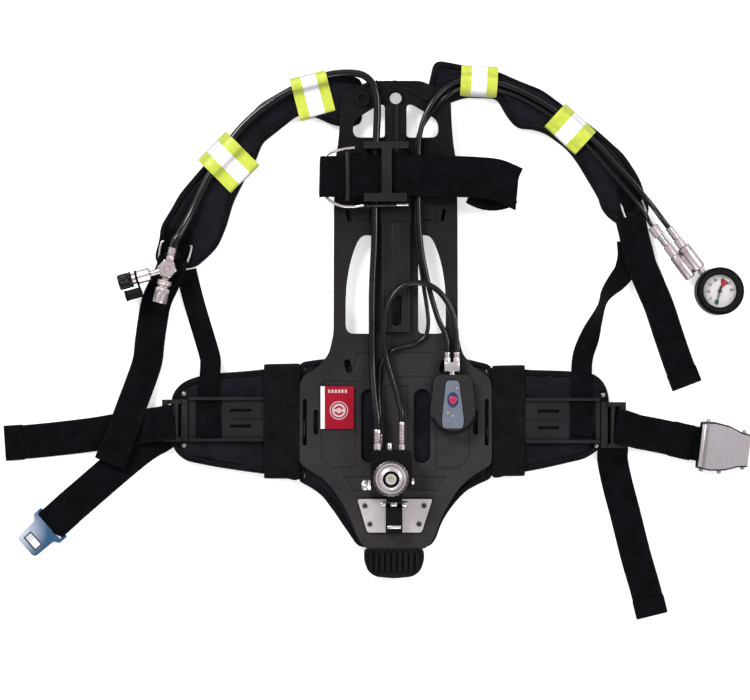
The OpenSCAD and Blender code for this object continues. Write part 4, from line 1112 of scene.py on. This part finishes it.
# painted light: the nose, down in the handwheel's recess, is given a steel painted lighter
turned("inlet_nose", painted_light_steel, "steel", inlet, [(68.2, 3.5), (72.2, 3.5), (72.5, 3.8),
    (72.5, 6.1), (72.2, 6.4), (70.6, 6.4), (70.2, 6.0), (70.2, 3.5)], hollow=True)
# painted shade: a dark steel ring at the bottom of the recess between nose and handwheel
turned("inlet_recess_painted_shade", dark_steel, "steel", inlet, oblong(70.1, 6.3, 70.8, 9.4), hollow=True)
turned("inlet_filter_turned", brass, "brass", inlet, [(68.05, 3.4), (70.9, 3.4), (71.3, 3.0),
    (71.3, 1.7), (71.0, 1.4), (70.0, 1.2), (69.2, 0.02)], node="inlet_filter")


def threaded(q, z, a):
    """Cuts a thread of 14 turns to the inch into the spigot."""
    pitch = 1.814
    if not 64.2 < z < 76.2:
        return q
    return q - 0.85 * abs(2 * ((z / pitch - a / (2 * math.pi)) % 1.0) - 1)


def fluted(q, z, a):
    """Cuts 24 finger grooves into the rim."""
    if not (50.9 < z < 61.4) or q < 20:
        return q
    return q - 1.3 * max(0.0, math.cos(24 * a)) ** 3


dish = [(51, 8.1), (50.6, 9), (50.6, 12), (50.6, 18.6), (58, 18.6), (61.6, 18.6), (62.2, 18.3),
    (63, 17.4), (63, 16.4), (62.3, 15.6), (61.9, 14.2), (61.8, 13.0), (62.2, 12.4), (62.6, 12.0),
    (62.8, 11.5)]
spigot = [(63 + 0.15 * k, 11.45) for k in range(92)]
mouth = [(76.9, 11.2), (77.3, 10.8), (77.5, 10.5), (77.5, 10.0), (77.3, 9.75), (70.3, 9.75),
    (70.2, 8.1)]
turned("handwheel_face", satin_steel, "steel", inlet, dish + spigot + mouth, threaded, sides=96,
    hollow=True, body="handwheel", node="handwheel")
turned("handwheel_rim", dark_steel, "black_metal", inlet, [(50.5, 18.7), (50.5, 19.6),
    (51.0, 21.2), (51.4, 21.5), (60.8, 21.5), (61.3, 21.1), (62.0, 20.2), (62.4, 19.3),
    (62.4, 18.7)], fluted, sides=288, hollow=True, body="handwheel")

# the fitting above the alarm
tee = Turned()
tee.block(upright(0, 0), (60, -35, 18.5), (78, -24, 30.5), 0.8)
tee.add(lying(69, -35, 25, -90), [(0, 4), (1.4, 4), (1.6, 3.4), (2.4, 3.4), (2.6, 4), (4, 4)])
for x in (63.5, 74.5):
    tee.add(lying(x, -24, 25, 90), barrel(0, 5, 4.5, 0.4), hexagon(8.0))
    tee.add(lying(x, -19, 25, 90), [(0, 3.4), (0.8, 3.4), (1, 3.9), (2.6, 4), (3, 3.5),
        (4.2, 3.5), (4.6, 4), (6.6, 4), (7, 3.6)])
tee.done("device_tee_turned", bright_steel, "steel", node="device_tee")
turned("alarm_button_cap", button_red, "button", upright(70, -69), [(27.5, 4.1), (27.7, 4.5),
    (31.7, 4.5), (31.72, 5.2), (32.0, 5.5), (32.8, 5.4), (33.2, 4.8), (33.4, 4.1), (33.5, 3.4),
    (33.4, 2.4), (33.3, 0.02)], body="alarm_button", node="device_button")
# painted shade: a dark crescent round the lower half of the alarm case, where its side falls into
# shade
printed("device_side_painted_shade", [outline_arc(71.3, -81.8, 24.4, 27.9, 198, 270),
    outline_arc(71.3, -81.8, 24.4, 27.9, 270, 342)], 26.5, 30.75, gloss_black)
printed("alarm_ring", ring(70, -69, 5.95, (6.6, 9.4)), DECK + 15, DECK + 15.12, print_blue)

# left coupling group
turned("tee_block_milled", steel, "steel", upright(-270, 87, -14, 27.5), [(-9, 9.8), (-8.3, 11.4),
    (-7.9, 11.5), (7.9, 11.5), (8.3, 11.4), (9, 9.8), (9, 4.2), (8.2, 3.6), (8.2, 0.02)],
    hexagon(19.9), node="tee_block", angle=24)
core = Turned()
core.add(arm(UPPER_ARM), [(9.6, 4.5), (12.5, 4.5), (13, 3.8), (20.5, 3.8), (21, 4.5), (22, 4.5)])
core.add(arm(UPPER_ARM), barrel(22.1, 36.9, 8.25, 0.8), hexagon(15.4))
core.add(arm(UPPER_ARM), [(37, 6.5), (58.4, 6.5), (59, 6.1), (59, 5.3), (58.7, 5.0), (41, 5.0),
    (41, 0.02)])
core.add(arm(LOWER_ARM), [(9.6, 4.5), (13.9, 4.5)])
core.add(arm(LOWER_ARM), barrel(14, 20, 8.5, 0.7), knurl(24, 0.5, 14.6, 19.4), sides=144)
core.add(arm(LOWER_ARM), [(20, 6.5), (39.4, 6.5), (40, 6.1), (40, 5.3), (39.7, 5.0), (22, 5.0),
    (22, 0.02)])
core.done("coupler_bodies_turned", steel, "steel", node="coupler_bodies")
turned("sleeve_upper_turned", gloss_black, "black_metal", arm(UPPER_ARM), [(44, 6.6), (44, 8.6),
    (44.5, 9.3), (45, 9.5), (46.8, 9.5), (47.4, 8.9), (48.2, 9.3), (57.4, 9.3), (58.2, 8.9),
    (58.6, 9.5), (60, 9.5), (60.5, 9.1), (60.5, 6.9), (60.2, 6.6)], knurl(24, 0.8, 48, 57.6),
    sides=144, hollow=True, body="sleeve_upper", node="sleeve_upper")
turned("sleeve_lower_turned", bright_steel, "steel", arm(LOWER_ARM), [(24, 6.6), (24, 8.0),
    (24.4, 8.5), (28.6, 8.5), (29.2, 7.9), (30, 7.9), (30.5, 8.35), (40.6, 8.35), (41.5, 7.8),
    (41.5, 6.9), (41.2, 6.6)], knurl(36, 0.45, 24.3, 28.7), sides=216, hollow=True,
    body="sleeve_lower", node="sleeve_lower")
cap = Turned()
cap.add(arm(UPPER_ARM), [(37.2, 6.65), (37.2, 8.7), (37.5, 9), (39.3, 9), (39.6, 8.7),
    (39.6, 6.65)], hollow=True)
cap.block(arm(UPPER_ARM), (-3, 8.2, 37.3), (3, 17, 39.5), 0.5)
cap.add(arm(UPPER_ARM) @ Matrix.Translation((0, 0.0175, 0)), [(37.2, 5.9), (37.8, 6.6),
    (39.2, 6.6), (39.8, 6.1), (54.6, 6.1), (55.2, 6.6), (57, 6.6), (57.2, 6.3), (57.2, 5.2),
    (41, 5.0), (41, 0.02)], knurl(18, 0.3, 39.9, 54.5), sides=108)
cap.done("dust_cap_turned", foot_rubber, "black_rubber", "dust_cap", "dust_cap")

# right gauge group
body = Turned()
body.block(manifold, (-8, -7.3, -4.5), (12, 7.3, 4.5), 0.6)
body.add(along_manifold(-16, 7.3), [(0, 7), (0.8, 7.9), (1.2, 8), (5.6, 8), (6, 7.6), (6.8, 7.6),
    (7.2, 8), (31.4, 8), (32.2, 7.6), (33, 6.4)])
body.add(along_manifold(17, 7.3), [(0, 3.2), (1.6, 3.2), (2, 4.5), (5, 4.5), (5.4, 4), (6.3, 4)],
    hexagon(8.2))
body.add(along_manifold(-14, -7.3), [(0, 5.6), (0.8, 6.3), (1.2, 6.5), (31, 6.5), (32, 6.1),
    (33, 5)])
body.done("manifold_turned", steel, "steel", node="gauge_manifold")

# dial: its middle, where its scale starts and how far it sweeps, in degrees
GAUGE = (390, 61)
SCALE_START, SCALE_SWEEP = -105, 250
printed("dial_face", ring(*GAUGE, 1.5, 19.8), 17.22, 17.5, dial_white)
dial = upright(*GAUGE)
ticks = []
for k in range(36):
    a = math.radians(SCALE_START - SCALE_SWEEP * k / 35)
    inner, wide = (16.4, 0.42) if k % 5 == 0 else (17.4, 0.2)
    along, side = Vector((math.cos(a), math.sin(a))), Vector((-math.sin(a), math.cos(a)))
    ticks.append([tuple(along * q + side * w) for q, w in oblong(inner, -wide, 18.8, wide)])
printed("dial_ticks", ticks, 17.5, 17.56, dial_ink, spot=dial)
printed("dial_low", [[(1.1, 2.3), (1.4, 14.2), (4.6, 14.6), (7.6, 13.0), (10.6, 9.6)]], 17.5,
    17.57, dial_red, spot=dial)
printed("dial_full", [outline_arc(0, 0, 11.0, 16.4, -117, -95, 8)], 17.5, 17.57, dial_green,
    spot=dial)
figures = Turned()
for k in range(8):
    a = math.radians(SCALE_START - SCALE_SWEEP * k / 7)
    words = bpy.data.curves.new("figure", "FONT")
    words.body, words.size, words.extrude = str(k * 5), 0.0042, 0.00003
    words.align_x, words.align_y, words.offset = "CENTER", "CENTER", 0.00014
    shape = bpy.data.objects.new("figure", words)
    collection.objects.link(shape)
    bpy.context.view_layer.update()
    mesh = bpy.data.meshes.new_from_object(shape)
    mesh.transform(dial @ Matrix.Translation((0.0138 * math.cos(a), 0.0138 * math.sin(a), 0.01754)))
    figures.bm.from_mesh(mesh)
    bpy.data.objects.remove(shape)
figures.done("dial_figures", dial_ink, "dial")

# print on the name plate; MARK is the middle of its ring mark
MARK = (-66, -82)
printed("plate_strip", [oblong(-88, -104, -83, -53)], DECK + 1.2, DECK + 1.4, label_white)
printed("plate_mark", ring(*MARK, 9.9, 11) + ring(*MARK, 0.3, 8.2), DECK + 1.6, DECK + 1.75,
    label_pink)
printed("plate_swirl", [outline_arc(*MARK, 3.4, 5.6, a, a + 140) for a in (20, 200)], DECK + 1.7,
    DECK + 1.85, red_gloss)
printed("plate_print", [oblong(x, -61, x + 2.6, -57) for x in range(-79, -58, 4)], DECK + 1.2,
    DECK + 1.35, label_pink)

# edges, painted shade at the flap's bend and studs of the buckle, painted shade on the rim of the
# tongue's window, rivets
buckle = upright(396, -127, -7)
Turned().block(buckle, (-29.4, -25.6, 13.6), (-24.6, 25.6, 17.3), 1.4).done("flap_roll",
    brushed_steel, "buckle", "buckle_flap")
# painted shade: a dark band on the flap where it bends
printed("flap_bend_painted_shade", [oblong(-24.4, -26.3, -20.8, 26.3)], 16.1, 16.28, shade_steel,
    "buckle_flap", buckle)
# painted shade: a dark frame round the tongue's window
printed("tongue_window_painted_shade", [oblong(25, -10.5, 37, -8.9), oblong(25, 8.9, 37, 10.5),
    oblong(25, -9, 26.6, 9), oblong(35.4, -9, 37, 9)], -0.9, 1.14, dark_steel,
    "buckle_tongue", upright(-411, -218.5, 222, 6))
studs = Turned()
for x, y, out in ((-21.9, 28.4, 90), (22.4, 20.6, 90), (25.3, -20.0, -90), (-2.3, -28.2, -90),
                  (-24, -28.2, -90)):
    studs.add(buckle @ Matrix.Translation((x / 1000, y / 1000, 0.0095)) @
        Matrix.Rotation(math.radians(out), 4, "Z") @ Matrix.Rotation(math.pi / 2, 4, "Y"),
        [(-1, 2.6), (1.8, 2.6), (2.8, 2.2), (3.4, 1.4), (3.6, 0.02)], sides=36)
studs.done("buckle_studs", shade_steel, "buckle")
rivets = Turned()
for x, y in ((-252, -62), (-252, -124), (251, -63.5), (243, -124.5)):
    rivets.add(upright(x, y), [(12, 2.6), (13.1, 2.6), (13.4, 2.3), (13.6, 1.8), (14.3, 1.5),
        (14.5, 1.0), (14.5, 0.02)], sides=36)
rivets.done("wing_rivets_domed", shade_steel, "steel", node="wing_rivets")

# bent wire: the strap's ring with its rubber tube and the two slides
round_bar("keeper_ring", "strap_ring", [[-47, 232, 26], [-60, 230, 27], [-76, 226, 27],
    [-81, 221.5, 27], [-82, 214, 27], [-82, 180, 27], [-80, 172, 27], [-74, 167, 27],
    [-62, 162, 27], [-46, 161.5, 26], [-38, 162.5, 28], [-24, 163, 29.5], [17, 163.5, 29.5]], 3.6,
    bright_steel)
round_bar("ring_tube", None, [[-36.5, 162.6, 28.3], [-30, 162.8, 28.9], [-24, 163, 29.5],
    [-10, 163.2, 29.5], [3, 163.3, 29.5]], 4.8, hose_rubber)
round_bar("slide_left", "strap_slides", [[-279, 118, 14], [-281.5, 101, 14], [-278, 97.5, 14],
    [-251, 94.5, 14], [-247, 98, 14], [-243, 112, 14], [-246, 116, 14], [-274, 120.5, 14]], 3,
    steel, True)
round_bar("slide_right", None, [[273, 162, 14], [278.5, 147, 14], [283, 144, 14],
    [300, 150.5, 14], [302, 155, 14], [297.5, 169, 14], [293, 172, 14], [275, 167.5, 14]], 3,
    steel, True)

# the straps sewn across the waist pads
laid("sleeve_webbing_left", "sleeves", [[-134.5, -27, 7], [-134.5, -28.5, 12.6],
    [-134.5, -36, 13.4], [-134.5, -60, 14.6], [-134.5, -68, 16.2], [-134.5, -117, 16.2],
    [-134.5, -125, 14.6], [-134.5, -152, 13.4], [-134.5, -161, 12.6], [-134.5, -163, 7]], 43,
    shader=trim_cloth, slot="pad_fabric", across=(1, 0, 0), seed=31)
laid("sleeve_webbing_right", None, [[137.5, -29, 7], [137.5, -30.5, 12.6], [137.5, -38, 13.4],
    [137.5, -60, 14.6], [137.5, -68, 16.2], [137.5, -118, 16.2], [137.5, -127, 14.6],
    [137.5, -150, 13.4], [137.5, -158, 12.6], [137.5, -160, 7]], 39, shader=trim_cloth,
    slot="pad_fabric", across=(1, 0, 0), seed=32)


# ---------------------------------------------------------------- floor and light

floor_mesh = bpy.data.meshes.new("floor")
floor_mesh.from_pydata([(-6, -6, 0), (6, -6, 0), (6, 6, 0), (-6, 6, 0)], [], [(0, 1, 2, 3)])
floor = bpy.data.objects.new("floor", floor_mesh)
floor.location.z = -0.0003
collection.objects.link(floor)
floor_paint = Shader("floor_paint", (0.7, 0.7, 0.7), 0.9, Emission_Color=(1, 1, 1, 1),
    Emission_Strength=0.5)
floor.data.materials.append(floor_paint.material)


def lamp(name, place_at, aim, size, energy):
    data = bpy.data.lights.new(name, "AREA")
    data.shape = "DISK"
    data.size = size
    data.energy = energy
    obj = bpy.data.objects.new(name, data)
    obj.location = place_at
    obj.rotation_euler = (Vector(aim) - Vector(place_at)).to_track_quat("-Z", "Y").to_euler()
    collection.objects.link(obj)


lamp("key", (-1.5, 1.7, 2.0), (0, 0, 0), 1.0, 86)
lamp("fill", (1.9, 0.6, 1.7), (0, 0, 0), 1.2, 34)
lamp("low", (0.2, -2.1, 1.3), (0, 0, 0), 1.2, 26)

# the room: dark at the horizon, bright at half height, dimmer straight above
world = bpy.data.worlds.new("studio")
world.use_nodes = True
sky = world.node_tree
parts = sky.nodes.new("ShaderNodeSeparateXYZ")
ramp = sky.nodes.new("ShaderNodeValToRGB")
sky.links.new(sky.nodes.new("ShaderNodeTexCoord").outputs["Generated"], parts.inputs[0])
sky.links.new(parts.outputs[2], ramp.inputs[0])
sky.links.new(ramp.outputs[0], sky.nodes["Background"].inputs[0])
stops = ramp.color_ramp.elements
stops[0].position, stops[0].color = 0.0, (0.05, 0.05, 0.055, 1)
stops[1].position, stops[1].color = 1.0, (0.42, 0.42, 0.43, 1)
for position, value in ((0.32, 0.12), (0.5, 1.0), (0.72, 0.95), (0.86, 0.42)):
    stops.new(position).color = (value, value, value * 1.02, 1)
sky.nodes["Background"].inputs[1].default_value = 0.8
scene.world = world
scene.view_settings.view_transform = "Standard"
